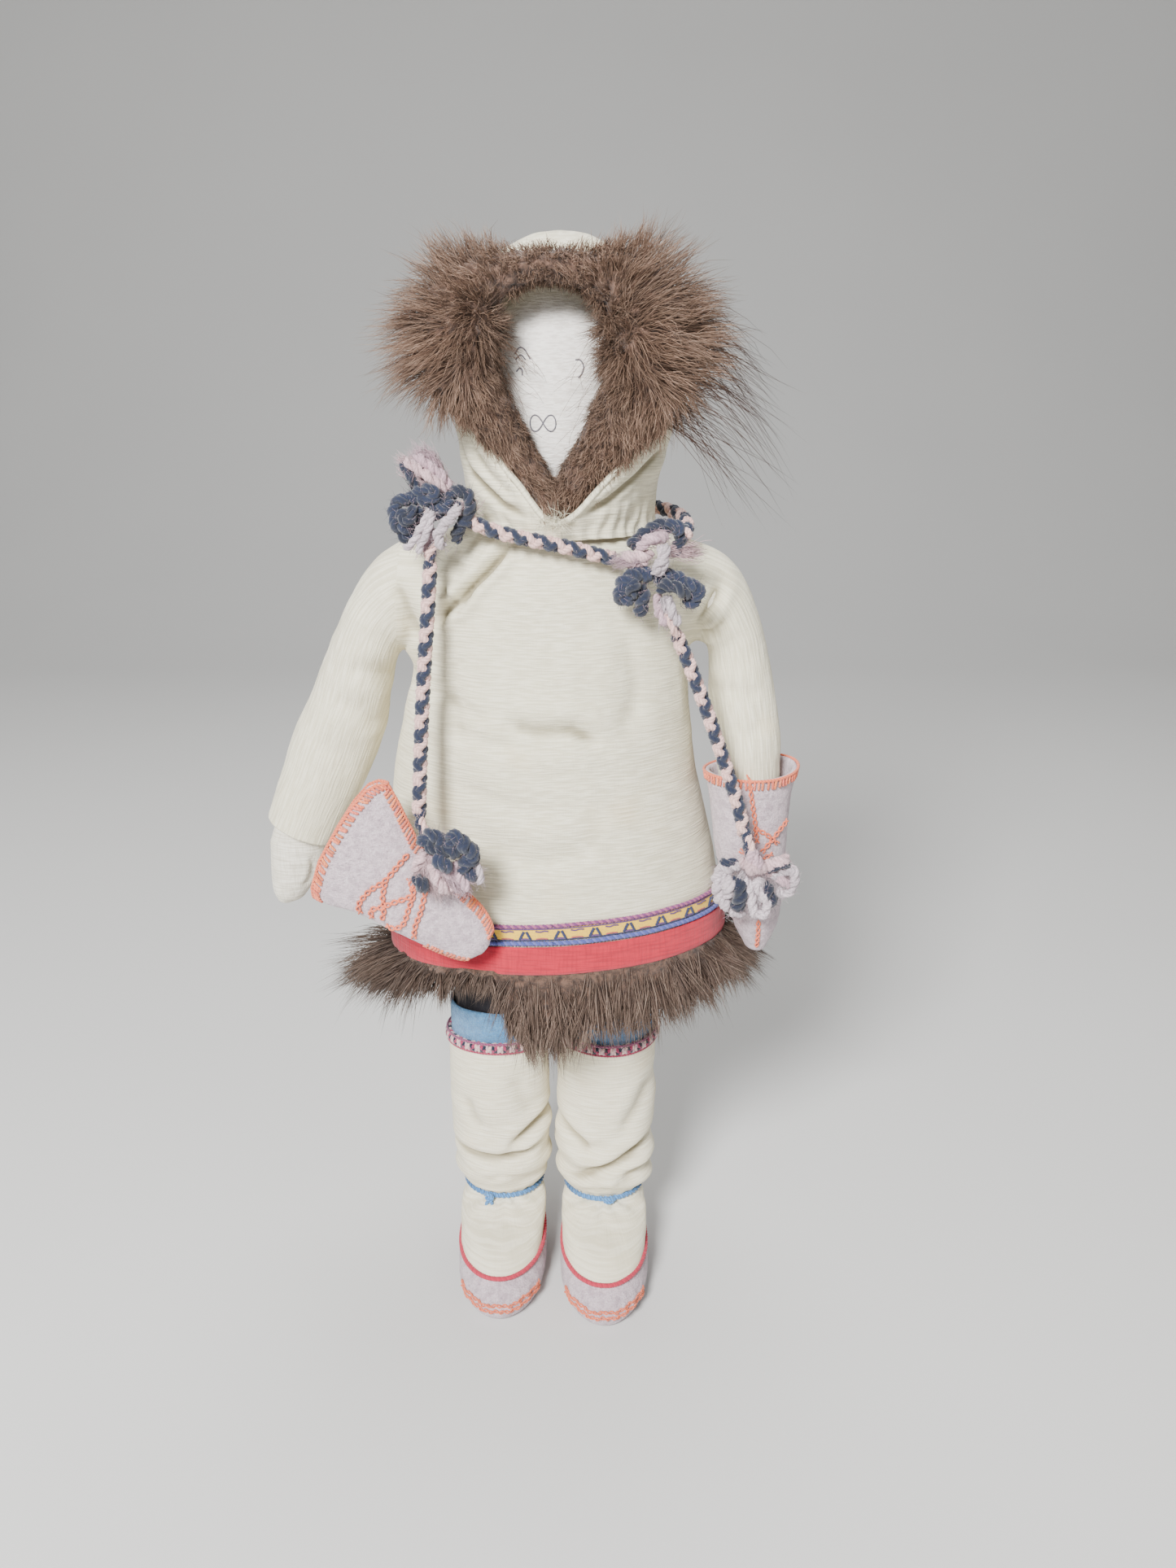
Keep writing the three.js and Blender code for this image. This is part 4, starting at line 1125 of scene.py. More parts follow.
def make_hood():
    """The hood: one drawn-in cloth with a V-shaped front opening, its edge rolled and its neck seam puckered."""
    rings = oval(HOOD, 120, 220, 2)
    flat = rings.reshape(-1, 3)
    normal = unit((flat - [2, -4, 0]) * [1, 1.2, 0] + (np.clip(flat[:, 2:3] - 316, 0, 30) * [[0, 0, 1]]))
    low = ramp(flat[:, 2], 276, -14)
    angle = np.arctan2(flat[:, 0] - 2, -(flat[:, 1] + 3))
    pucker = np.sin(angle * 34 + 3 * noise(flat / 6, 71)) * 0.35 * low**2
    gather = 0.9 * noise(np.stack([angle * 3.2, flat[:, 2] / 26, flat[:, 0] * 0], -1), 72)
    move = pucker + gather * ramp(flat[:, 2], 300, -25) + 0.3 * fractal(flat / 7, 73)
    creases = folded(flat, normal, HOOD_FRONT_FOLDS)
    move += creases
    move += folded(flat, normal, HOOD_BACK_FOLDS, 1)
    outline = spline(OPENING, 400, closed=True)
    front = flat[:, 1] < -6
    beside = np.linalg.norm(flat[:, None, [0, 2]] - outline[None, ::4], axis=2).min(1)
    raised = np.clip(1 - beside / 13, 0, 1) ** 1.5 * ramp(flat[:, 2], 294, -8) * front
    flat = flat + normal * (move + 4.4 * raised)[:, None]
    gap = np.linalg.norm(flat[:, None, [0, 2]] - outline[None, ::2], axis=2)
    near, nearest = gap.min(1), outline[::2][gap.argmin(1)]
    snap = front & (near < 0.75)
    flat[snap, 0], flat[snap, 2] = nearest[snap, 0], nearest[snap, 1]
    within = inside(flat[:, [0, 2]], outline) & front & ~snap
    hood = Cloth()
    # The weave's third part is the painted shade in the hood's creases.
    weave = np.stack([angle * 0.028, flat[:, 2] / 1000, np.clip(-creases / 1.6, 0, 1)], -1)
    hood.grid(flat.reshape(rings.shape), caps=(False, True), weave=weave)
    quads = hood.quads[0]
    hood.quads[0] = quads[~within[quads].any(1)]
    tree = BVHTree.FromPolygons(flat.tolist(), [tuple(q) for q in quads.tolist()])
    edge = np.array([tuple(tree.ray_cast(Vector((x, -80, z)), Vector((0, 1, 0)))[0] or Vector((x, -25, z)))
                     for x, z in outline])
    edge[:, 1] = np.convolve(np.r_[edge[-6:, 1], edge[:, 1], edge[:6, 1]], np.ones(13) / 13, "valid")
    for ahead, radius in ((0.0, 0.95), (0.49, 0.7)):
        hood.tube((edge - [0, ahead, 0])[::2], radius, 10, closed=True)
    inner = edge[::2]
    middle = inner.mean(0)
    hood.grid(np.stack([inner + (middle - inner) * f * [1, 0, 1] + [0, depth, 0]
                        for f, depth in ((0.0, 0.6), (0.03, 2.5), (0.0, 6), (-0.04, 10))]))
    foot = np.array([[x, -33.5, 262.5 + 0.4 * abs(x)] for x in (-2.0, -0.8, 0.2, 1.2, 2.2, 3.4)])
    hood.strands(*fuzz(foot, 1.6, 110, [np.ones(3)], 75, (1.5, 4.5), 0.07))
    hood.piece("hood_cloth", COTTON, None, "parka_cotton", ("hood",),
               blend=("torso", "head", spot(0, -3, 259.5), spot(0, -3, 273)))


make_hood()


# ---- Fur

RUFF_Y = -31  # the middle of the ruff's depth
RUFF_HAIRS = 21000
SKIRT_HAIRS = 6200  # in each half
PELT = [linear(136, 109, 91), linear(116, 90, 75), linear(148, 121, 102), linear(92, 71, 59)]
TIPS = [linear(192, 163, 142), linear(164, 133, 113), linear(124, 96, 80), linear(68, 48, 40)]


def grow(rng, roots, aim, length, droop, clumps, cling, points, radius, curl, pelt, tips, base):
    """Fur: strands from roots along aim, gathered into clumps, drooping, darker at the root and ticked at the tip.

    cling is how far a hair leans to its clump, points is how many each has, and base is the root's brightness.
    """
    n = len(roots)
    aim = unit(aim + rng.normal(scale=0.16, size=aim.shape))
    chosen = rng.choice(n, clumps, replace=False)
    tree = KDTree(clumps)
    for i, c in enumerate(chosen):
        tree.insert(roots[c], i)
    tree.balance()
    lead = chosen[[tree.find(r)[1] for r in roots]]
    sway = rng.normal(scale=0.22, size=(n, 3))
    aim = unit(aim + sway[lead])
    length = length * (0.75 + 0.5 * rng.random(n) ** 1.3) * (0.85 + 0.3 * rng.random(n)[lead])
    s = np.linspace(0, 1, points)[None, :, None]
    bend = droop + rng.normal(scale=0.12, size=(n, 3))
    own = roots[:, None] + length[:, None, None] * (s * aim[:, None] + s**2 * bend[:, None])
    hub = roots[lead][:, None] + length[:, None, None] * (s * aim[lead][:, None] + s**2 * bend[lead][:, None])
    paths = own + (hub - own) * cling * s**1.2
    paths += curl * np.sin(s * 5 + rng.uniform(0, 6.3, (n, 1, 1))) * s * rng.normal(size=(n, 1, 3)) * 0.6
    thick = radius * rng.uniform(0.7, 1.3, (n, 1)) * (1 - 0.75 * s[..., 0] ** 1.5)
    body = np.array(pelt)[rng.integers(0, len(pelt), n)] * rng.uniform(0.8, 1.15, (n, 1))
    tip = np.array(tips)[rng.choice(len(tips), n, p=[0.34, 0.32, 0.22, 0.12])]
    group = rng.uniform(0.82, 1.15, n)[lead][:, None]
    shade = body[:, None] * (base + (1 - base) * np.clip(s * 2.2, 0, 1))
    shade = shade + (tip[:, None] - shade) * ramp(s, 0.55, 0.45) * 0.75
    return paths, thick, np.clip(shade * group[:, None], 0, 1)


def ruff_frame(t):
    """Centre, half sizes and outward direction round the ruff, at t from 0 to 1."""
    table = spline(RUFF, 600, closed=True)
    i = (t * 600).astype(int) % 600
    back = 4.2 * ramp(table[i, 1], 292, -12)
    centre = np.stack([table[i, 0], RUFF_Y + back, table[i, 1]], -1)
    tangent = unit((np.roll(table, -3, 0) - np.roll(table, 3, 0))[:, :2])[i]
    out = np.stack([tangent[:, 1], tangent[:, 0] * 0, -tangent[:, 0]], -1)
    away = centre - [1, RUFF_Y, 300]
    out = out * np.sign((out * away).sum(1))[:, None]
    return centre, table[i, 2], table[i, 3], out


# A hair's length at each row of RUFF, the last row being the first again.
RUFF_LENGTH = [6, 4.4, 4.6, 13, 11, 3.6, 4, 13, 14, 5.6, 4.6, 6]


def ruff_undercoat():
    """The ruff's skin and short under-wool, one lumpy closed ring."""
    coat = Cloth()
    count, around = 260, 40
    centre, wide, deep, out = ruff_frame(np.arange(count) / count)
    angle = circle(around)
    rings = centre[:, None] + (wide * 0.7)[:, None, None] * np.cos(angle)[None, :, None] * out[:, None]
    rings = rings + (deep * 0.8)[:, None, None] * np.sin(angle)[None, :, None] * np.array([0, -1, 0])
    flat = rings.reshape(-1, 3)
    push = unit(flat - np.repeat(centre, around, axis=0))
    flat = flat + push * (1.0 * fractal(flat / 3.2, 81) + 0.5 * noise(flat / 1.1, 82))[:, None]
    rings = flat.reshape(rings.shape)
    coat.grid(np.concatenate([rings, rings[:1]]))
    coat.piece("hood_ruff_undercoat", UNDERCOAT, "head", "fur", ("hood_ruff",))


def ruff_fur():
    """Two halves of long guard hair round the hood, and a few stray dark hairs."""
    rng = np.random.default_rng(83)
    t = rng.random(40000)
    wide = ruff_frame(t)[1]
    t = t[rng.random(len(t)) < (wide + 4) / 19][:RUFF_HAIRS]
    centre, wide, deep, out = ruff_frame(t)
    n = len(t)
    phi = rng.uniform(-0.55 * np.pi, 1.35 * np.pi, n)
    round_x, round_y = np.cos(phi)[:, None] * out, np.sin(phi)[:, None] * np.array([0, -1.0, 0])
    roots = centre + round_x * (wide * 0.7)[:, None] + round_y * (deep * 0.78)[:, None]
    inner = np.clip(-np.cos(phi), 0, 1)[:, None]
    throat = ramp(centre[:, 2:], 303.5, -6)
    crown = ramp(centre[:, 2:], 320, 5) * np.clip((16 - np.abs(centre[:, :1] - 2)) / 6, 0, 1)
    high = ramp(centre[:, 2:], 312, 14)
    down = np.where(centre[:, :1] < 0, 0.3, 0.05) * (1 - high)
    aim = out * (1.0 - 0.75 * inner) * (1 - throat) * (1 - 0.7 * crown)
    aim = aim + 0.55 * round_x * (1 - 0.75 * throat) + 0.55 * round_y * (1 - 0.4 * throat)
    aim = aim + 0.8 * np.stack([fractal(roots / 6.5, seed) for seed in (84, 85, 86)], -1)
    aim = aim + down * [[0, 0, -1]] + high * [[0, 0, 0.3]] * (1 - crown) + crown * [[0, -0.5, 0.0]]
    aim = aim + throat * ([0.1, -0.16, -0.7] - 0.4 * out)
    long = np.interp(t * 11, range(12), RUFF_LENGTH) * (1 - 0.5 * inner[:, 0])
    paths, thick, shade = grow(rng, roots, aim, long, np.array([0, 0.05, -0.12]), 1300, 0.24, 4, 0.085, 1.3,
                               PELT, TIPS, 0.6)
    # Painted shade: hairs on the ruff's inner side, towards the face, are darker.
    shade = shade * (1 - 0.4 * inner[..., None])
    right = centre[:, 0] < 1
    for word, part in (("right", right), ("left", ~right)):
        fur = Cloth()
        fur.strands(paths[part], thick[part], shade[part])
        if word == "left":
            fur.strands(*wisps(rng))
        fur.piece("ruff_fur_" + word, FUR, "head", "fur")


def wisps(rng):
    """Long dark stray hairs at the doll's left, and fine ones across the face and throat."""
    count = 190
    centre, wide, _, out = ruff_frame(rng.uniform(0.67, 0.80, count))
    roots = centre + out * (wide * 0.7)[:, None] + rng.normal(scale=1.5, size=(count, 3))
    aim = out + np.array([0.25, 0, 0.0]) + rng.normal(scale=0.3, size=(count, 3)) * [1, 0.3, 1]
    paths, thick, shade = grow(rng, roots, aim, np.full(count, 24.0), np.array([0.1, 0, -0.5]), 30, 0.3, 6, 0.09,
                               2.0, [linear(66, 46, 38)], [linear(50, 32, 26)] * 4, 0.8)
    few = 70
    x = rng.uniform(-10, 9, few)
    z = 268 + rng.random(few) ** 0.8 * 40
    edge = np.where(x < 0, -11.0, 11.0)
    start = np.stack([edge, np.full(few, -30.5), z + rng.uniform(-2, 6, few)], -1)
    end = np.stack([x, np.full(few, -29.5), z - rng.uniform(1, 9, few)], -1)
    s = np.linspace(0, 1, 6)[None, :, None]
    cross = start[:, None] + (end - start)[:, None] * s
    cross += np.sin(s * 3.1) * rng.normal(scale=1.2, size=(few, 1, 3)) * [1, 0.2, 1]
    cross[:, :, 1] -= 0.8
    thin, faint = np.full((few, 6), 0.05), np.zeros((few, 6, 3)) + dye(98, 76, 62)
    return np.concatenate([paths, cross]), np.concatenate([thick, thin]), np.concatenate([shade, faint])


ruff_undercoat()
ruff_fur()


SKIRT_PELT = [linear(120, 99, 87), linear(101, 82, 72), linear(80, 63, 55), linear(134, 114, 101)]
SKIRT_TIPS = [linear(172, 151, 135), linear(142, 121, 107), linear(92, 73, 63), linear(56, 41, 35)]
SKIRT_PROFILE = [(128, 1.0), (120, 2.4), (111, 2.9), (104.5, 1.4), (104.5, -1.6), (111, -2.6), (122, -2.4),
                 (127.5, -2.0)]
SKIRT_SIZE = 53.5, 31  # half width and half depth
SKIRT_FRONT = ([-62, -45, -34, -30, -19, -15, -8, 0, 8, 12, 26, 37, 46, 62],
               [117, 116, 116, 120, 120, 101, 97, 97, 99, 103, 103, 104.5, 107, 113])


def skirt_bottom(x, y):
    """How low the fur hangs: uneven in front, where it is shorter on the doll's right, and even behind."""
    front = np.interp(x, *SKIRT_FRONT)
    return front + (99 - front) * ramp(y, -12, 16)


def skirt_fur():
    """The fur that hangs below the hem, in two halves that meet at the middle."""
    rng = np.random.default_rng(91)
    for side, word in ((-1, "right"), (1, "left")):
        span = ("torso", word + "_leg", spot(side * 20, 0, 122), spot(side * 20, 0, 92))
        coat = Cloth()
        rows = []
        half = np.linspace(-np.pi / 2, np.pi / 2, 90)
        for z, out in SKIRT_PROFILE:
            a, b = SKIRT_SIZE[0] + out, SKIRT_SIZE[1] + out
            rows.append(np.stack([side * a * np.cos(half), PARKA_Y + b * np.sin(half), np.full(90, float(z))], -1))
        rows = spline(np.array(rows).reshape(len(rows), -1), 40).reshape(40, 90, 3)
        if side > 0:
            rows = rows[:, ::-1]
        flat = rows.reshape(-1, 3)
        low = ramp(flat[:, 2], 122, -8)
        push = unit((flat + [0, 2, 0]) * [1, 1, 0])
        flat = flat + push * (1.1 * fractal(flat / [3, 3, 9], 92) * low)[:, None]
        floor = skirt_bottom(flat[:, 0], flat[:, 1]) + 5
        ragged = 1.5 * noise(flat / [4, 4, 60], 93) * low
        flat[:, 2] = 128 - (128 - flat[:, 2]) * (128 - floor) / 23.5 + ragged
        flat[:, 2] += HEM_TILT * flat[:, 0]
        flat[:, 0] = side * np.maximum(side * flat[:, 0], -0.8)
        coat.grid(flat.reshape(rows.shape), around=False)
        coat.piece("skirt_undercoat_" + word, UNDERCOAT, None, "fur", ("skirt_fur_" + word,), blend=span)
        turn = rng.uniform(-np.pi / 2 - 0.02, np.pi / 2 + 0.02, SKIRT_HAIRS)
        level = rng.random(SKIRT_HAIRS) ** 0.8
        cx, cy = side * np.cos(turn), np.sin(turn)
        floor = skirt_bottom(cx * 54, PARKA_Y + cy * 31)
        z = 127.5 - np.maximum(127.5 - floor - 5, 3) * level
        out = 0.5 + 2.2 * np.sin(level * np.pi)
        x, y = cx * (SKIRT_SIZE[0] + out), PARKA_Y + cy * (SKIRT_SIZE[1] + out)
        roots = np.stack([x, y, z + HEM_TILT * cx * 54], -1)
        splay = np.abs(cx) ** 3
        aim = np.stack([cx * (0.1 + 1.0 * splay), cy * (0.22 + 0.3 * splay), -1.0 + 0.35 * splay], -1)
        if side < 0:
            aim[:, 0] *= 1.35
        long = np.clip((z - floor) * 0.95 + 1.5, 5, 15)
        long = np.where((side < 0) & (splay > 0.45), long * 1.25 + 3, long)
        paths, thick, shade = grow(rng, roots, aim, long, np.array([0, 0, -0.14]), 380, 0.62, 4, 0.12, 0.5,
                                   SKIRT_PELT, SKIRT_TIPS, 0.42)
        # Painted shade: darker towards the sides and on the doll's right.
        painted_side_shade = ramp(-roots[:, 0], 12, 14) + splay * 0.5
        shade = shade * (1 - 0.38 * np.clip(painted_side_shade, 0, 1))[:, None, None]
        fur = Cloth()
        fur.strands(paths, thick, shade)
        fur.piece("skirt_fur_hair_" + word, FUR, None, "fur", blend=span)


skirt_fur()


# ---- Hands and mittens

def right_hand():
    """The stuffed muslin arm, which shows as a plain rounded hand below the sleeve."""
    arm = Cloth()
    upper = limb(-1, RIGHT_SLEEVE[3:], 60, 56, 3.2)
    lower = limb(-1, RIGHT_HAND, 50, 56)
    wrist = spline(np.stack([upper[49].ravel(), lower[6].ravel()]), 8).reshape(8, 56, 3)[1:-1]
    rows = np.concatenate([upper[:50], wrist, lower[6:]])
    flat = rows.reshape(-1, 3)
    centre = np.repeat(rows.mean(1), 56, axis=0)
    out = unit(flat - centre)
    seam = np.exp(-((np.abs(out[:, 1]) / 0.12) ** 2))
    thumb = folded(flat, out, [(0.9, 0.8, [(-79.5, 157), (-78.2, 152), (-79.4, 147.5), (-82, 144)])])
    flat = flat + out * (0.3 * fractal(flat / 6, 101) - 0.25 * seam + thumb)[:, None]
    arm.grid(flat.reshape(rows.shape), caps=(True, True))
    piece = arm.piece("right_hand_cloth", MUSLIN, "right_arm", "muslin", ("right_arm_cover",))


right_hand()


def felt_shell(rows, seed):
    """A felt pouch from rings, first ring open: its outside, a rounded rim and a lining."""
    m = rows.shape[1]
    flat = rows.reshape(-1, 3)
    out = unit(flat - np.repeat(rows.mean(1), m, axis=0))
    flat = flat + out * (0.28 * fractal(flat / 7, seed) + 0.1 * noise(flat / 1.6, seed + 1))[:, None]
    rows = flat.reshape(rows.shape)
    first, middle = rows[0], rows[0].mean(0)
    up = unit(middle - rows[3].mean(0))
    towards = unit(middle - first)
    rim = [first + towards * FELT * f + up * h for f, h in ((0.25, 0.35), (0.6, 0.45), (0.95, 0.2))]
    lining = [rows[k] + unit(rows[k].mean(0) - rows[k]) * FELT for k in range(1, LINING_ROWS)]
    return np.concatenate([np.array(lining[::-1]), np.array(rim[::-1]), rows])


FELT = 1.5  # the mittens' felt, in millimetres
LINING_ROWS = 16
WORN_FRONT = [  # stitched lines on the worn mitten's front, in x and z
    [(58.0, 187), (58.7, 183.1), (59.7, 177.9), (60.8, 171.2), (61.5, 166)],
    [(60.8, 170.9), (64.7, 168.2), (68.2, 164.7)],
    [(71.2, 171.2), (67.6, 168.2), (63, 163)],
    [(63.2, 140), (63.4, 134.5), (63.6, 129)],
    [(56.5, 163.5), (61, 160.5), (66.5, 162)],
]
WORN_BACK = [[(58.4, 186), (59, 176), (60.2, 166)], [(50, 172), (60, 162), (71, 172)], [(63.4, 146), (63.6, 130)]]


def worn_mitten():
    """The felt mitten on the doll's left hand, with its stitching."""
    mitten, stitches = Cloth(), Cloth()
    rows = limb(1, LEFT_MITTEN, 90, 96)
    angle = circle(96)
    open_cuff = np.stack([np.cos(angle) * 0.9, np.sin(angle) * 0.5, 0.5 * np.sin(2 * angle + 0.6)], -1)
    for i in range(14):
        flare = (1 - i / 14) ** 2
        rows[i] += open_cuff * flare
    mitten.grid(felt_shell(rows, 111), caps=(False, True))
    tree = mitten.surface()
    mitten.piece("worn_mitten_felt", LILAC_FELT, "left_mitten", "lilac_felt", ("left_mitten",))
    line = even(np.vstack([rows[0], rows[0][:1]]))
    out = unit(line - line.mean(0)) * [1, 1, 0]
    edge = line + out * 0.25 + [0, 0, 0.35]
    lower = pressed(tree, line + unit(out) * 0.15 + [0, 0, -2.6], unit(out), 0.8, 0.3)
    blanket_stitch(stitches, edge, lower, 1.35, 0.4, 112)
    for k, path in enumerate(WORN_FRONT):
        chain_stitch(stitches, laid(tree, path, 0.3, 0.25), 0.55, 0.28, seed=k)
    for k, path in enumerate(WORN_BACK):
        back = []
        for x, z in even(path, 0.25):
            hit = tree.ray_cast(Vector((x, 60, z)), Vector((0, -1, 0)))[0] or Vector((x, -3, z))
            back.append(np.array(hit) + [0, 0.3, 0])
        chain_stitch(stitches, back, 0.55, 0.28, seed=20 + k)
    stitches.piece("worn_mitten_stitches", THREAD, "left_mitten", "orange_thread")


worn_mitten()

HANG_FROM = np.array([-60.5, -39.5, 172])  # the middle of the hanging mitten's cuff
HANG_TILT = math.radians(39)  # below level, towards the doll's left
HANG_ALONG = np.array([math.cos(HANG_TILT), 0, -math.sin(HANG_TILT)])
HANG_WIDE = np.array([math.sin(HANG_TILT), 0, math.cos(HANG_TILT)])
# Rows of how far along, shift across, half width and half thickness.
HANG_ROWS = [(0, 0.8, 21, 4.6), (6, -0.2, 19.5, 4.9), (12.4, -1.2, 16.4, 5), (17, -1.8, 14.4, 4.9),
             (27, -2, 12.6, 4.7),
             (36, -1.9, 11, 4.3), (44, -1.7, 9.4, 3.9), (50, -2.1, 6.6, 3.2), (52.6, -2.2, 2.2, 1.8)]
CUFF_CURVE = ([-21, -17, -8, 0, 10, 17, 20, 22], [3.6, 0.6, -2.6, -3.9, -4.9, -4.6, -3.2, -0.6])
HANG_LACING = [  # stitched lines on the hanging mitten's front, in x and z
    [(-42.2, 169.5), (-45.4, 166.0), (-49.0, 161.9), (-54.2, 158.1), (-57.5, 153.5), (-57.2, 150.4)],
    [(-49.1, 161.0), (-50.1, 156.5), (-50.0, 152.3), (-50.9, 148.6)],
    [(-54.0, 148.9), (-53.8, 151.9), (-50.7, 153.1), (-46.8, 154.8), (-41.3, 157.3), (-42.2, 162.4)],
    [(-40.9, 157.3), (-42.7, 152.7), (-44.5, 147.7), (-47.3, 145.6), (-49.9, 146.6)],
    [(-37.6, 158.1), (-39.3, 151.5), (-41.1, 146.8), (-41.9, 142.2)],
    [(-33, 166), (-38, 162), (-42, 158.5)],
]
# Runs of edge stitching: which edge (1 upper, -1 lower), the rings that it passes, and its seed.
HANG_EDGES = [(1, range(1, 38), 130), (1, [38, *range(52, 84)], 167), (-1, range(60, 84), 133)]


def hanging_mitten():
    """The felt mitten that hangs from the braid, flat and turned, stitched along its edges."""
    mitten, stitches = Cloth(), Cloth()
    angle = circle(110)
    c, s = np.cos(angle), np.sin(angle)
    blunt = np.sign(s) * np.abs(s) ** 0.8
    rows = []
    for along, shift, wide, thick in spline(HANG_ROWS, 90):
        middle = HANG_FROM + HANG_ALONG * along + HANG_WIDE * shift
        bulge = np.interp(shift + wide * c, *CUFF_CURVE) * max(0, 1 - along / 16) ** 1.3
        rows.append(middle + wide * c[:, None] * HANG_WIDE + thick * blunt[:, None] * np.array([0, -1, 0])
                    + bulge[:, None] * HANG_ALONG)
    rows = np.array(rows)[:, ::-1]
    mitten.grid(felt_shell(rows, 121), caps=(False, True))
    tree = mitten.surface()
    mitten.piece("hanging_mitten_felt", LILAC_FELT, "right_mitten", "lilac_felt", ("right_mitten",))
    line = even(np.vstack([rows[0], rows[0][:1]]))
    out = unit(line - line.mean(0))
    lower = pressed(tree, line + HANG_ALONG * 2.5, out, 0.9, 0.25)
    blanket_stitch(stitches, line + out * 0.3 - HANG_ALONG * 0.35, lower, 1.3, 0.42, 122)
    for sign, wanted, seed in HANG_EDGES:
        side_line, inner = [], []
        for i in wanted:
            rim_point = rows[i][np.argmax(sign * (rows[i] @ HANG_WIDE))]
            side_line.append(rim_point + sign * HANG_WIDE * 0.3 + [0, -0.3, 0])
            before = Vector(rim_point - sign * HANG_WIDE * 1.9 + [0, -40, 0])
            hit = tree.ray_cast(before, Vector((0, 1, 0)))[0]
            inner.append(np.array(hit if hit else rim_point) + [0, -0.25, 0])
        edge_line, inner_line = even(side_line), even(inner)
        pick = np.linspace(0, len(inner_line) - 1, len(edge_line)).astype(int)
        blanket_stitch(stitches, edge_line, inner_line[pick], 1.2, 0.42, seed)
    for k, path in enumerate(HANG_LACING):
        chain_stitch(stitches, laid(tree, path, 0.3, 0.25), 0.62, 0.31, seed=k)
    stitches.piece("hanging_mitten_stitches", THREAD, "right_mitten", "orange_thread")


hanging_mitten()


# ---- Yarn tassels

def yarn_loops(cloth, rng, loops, y):
    """Thick crimped yarn laid along each path: (shade, radius, points in x and z, how far in front)."""
    for shade, radius, points, ahead in loops:
        radius = radius * 1.22
        shade, xz = np.asarray(shade), np.asarray(points, float)
        arch = np.sin(np.linspace(0, np.pi, len(xz))) * radius * 0.9
        line = even(np.stack([xz[:, 0], y - ahead - arch, xz[:, 1]], -1))
        run = np.arange(len(line)) * 0.3
        _, a, b = frames(line)
        phase = rng.uniform(0, 6.3)
        crimp = run * 1.9 + phase
        line = line + 0.16 * radius * (np.cos(crimp)[:, None] * a + np.sin(crimp)[:, None] * b)
        for ply in range(3):
            turn = run * 0.95 + ply * 2 * np.pi / 3 + phase
            path = line + 0.5 * radius * (np.cos(turn)[:, None] * a + np.sin(turn)[:, None] * b)
            lumps = noise(np.stack([run / 2.2, run * 0 + ply, run * 0], -1), int(phase * 100))
            end = np.minimum(run, run[-1] - run)
            swell = radius * 0.58 * (1 + 0.16 * lumps) * np.clip(0.45 + end / (radius * 1.4), 0, 1)
            tint = np.clip(shade * rng.uniform(0.82, 1.2), 0, 1)
            cloth.tube(path, swell, 9, lobes=5, depth=0.1, twist=0.16, colour=tint)
        lots, shades = int(run[-1] * radius * 9), [shade * 1.2, shade * 0.7, MAUVE]
        cloth.strands(*fuzz(line, radius * 0.95, lots, shades, int(phase * 999), (0.8, 2.8), 0.04))


def tassel(name, node, body, y, loops, seed, wisps):
    """A knot of loops, and wisps of loose fibre: (start, end, spread, count, shade)."""
    rng = np.random.default_rng(seed)
    cloth = Cloth()
    yarn_loops(cloth, rng, loops, y)
    for start, end, spread, count, shade in wisps:
        s = np.linspace(0, 1, 7)[None, :, None]
        a = start + rng.normal(scale=spread * 0.35, size=(count, 3)) * [1, 0.5, 1]
        b = end + rng.normal(scale=spread, size=(count, 3)) * [1, 0.4, 1]
        bow = rng.normal(scale=spread * 0.5, size=(count, 1, 3)) * [1, 0.5, 1]
        paths = a[:, None] + (b - a)[:, None] * s + np.sin(s * 3.1) * bow
        paths += np.sin(s * 9 + rng.uniform(0, 6, (count, 1, 1))) * 0.35
        tint = np.clip(shade * rng.uniform(0.75, 1.2, (count, 1)), 0, 1)
        radii = np.full((count, 7), 0.095) * (1 - 0.4 * s[..., 0])
        cloth.strands(paths, radii, np.repeat(tint[:, None], 7, axis=1))
    cloth.piece(name, YARN, body, "yarn", (node,))


# The navy yarn darkened, for the loops that lie in shade: painted shade.
SHADED_NAVY = NAVY * 0.7
ROSE = dye(206, 172, 176)

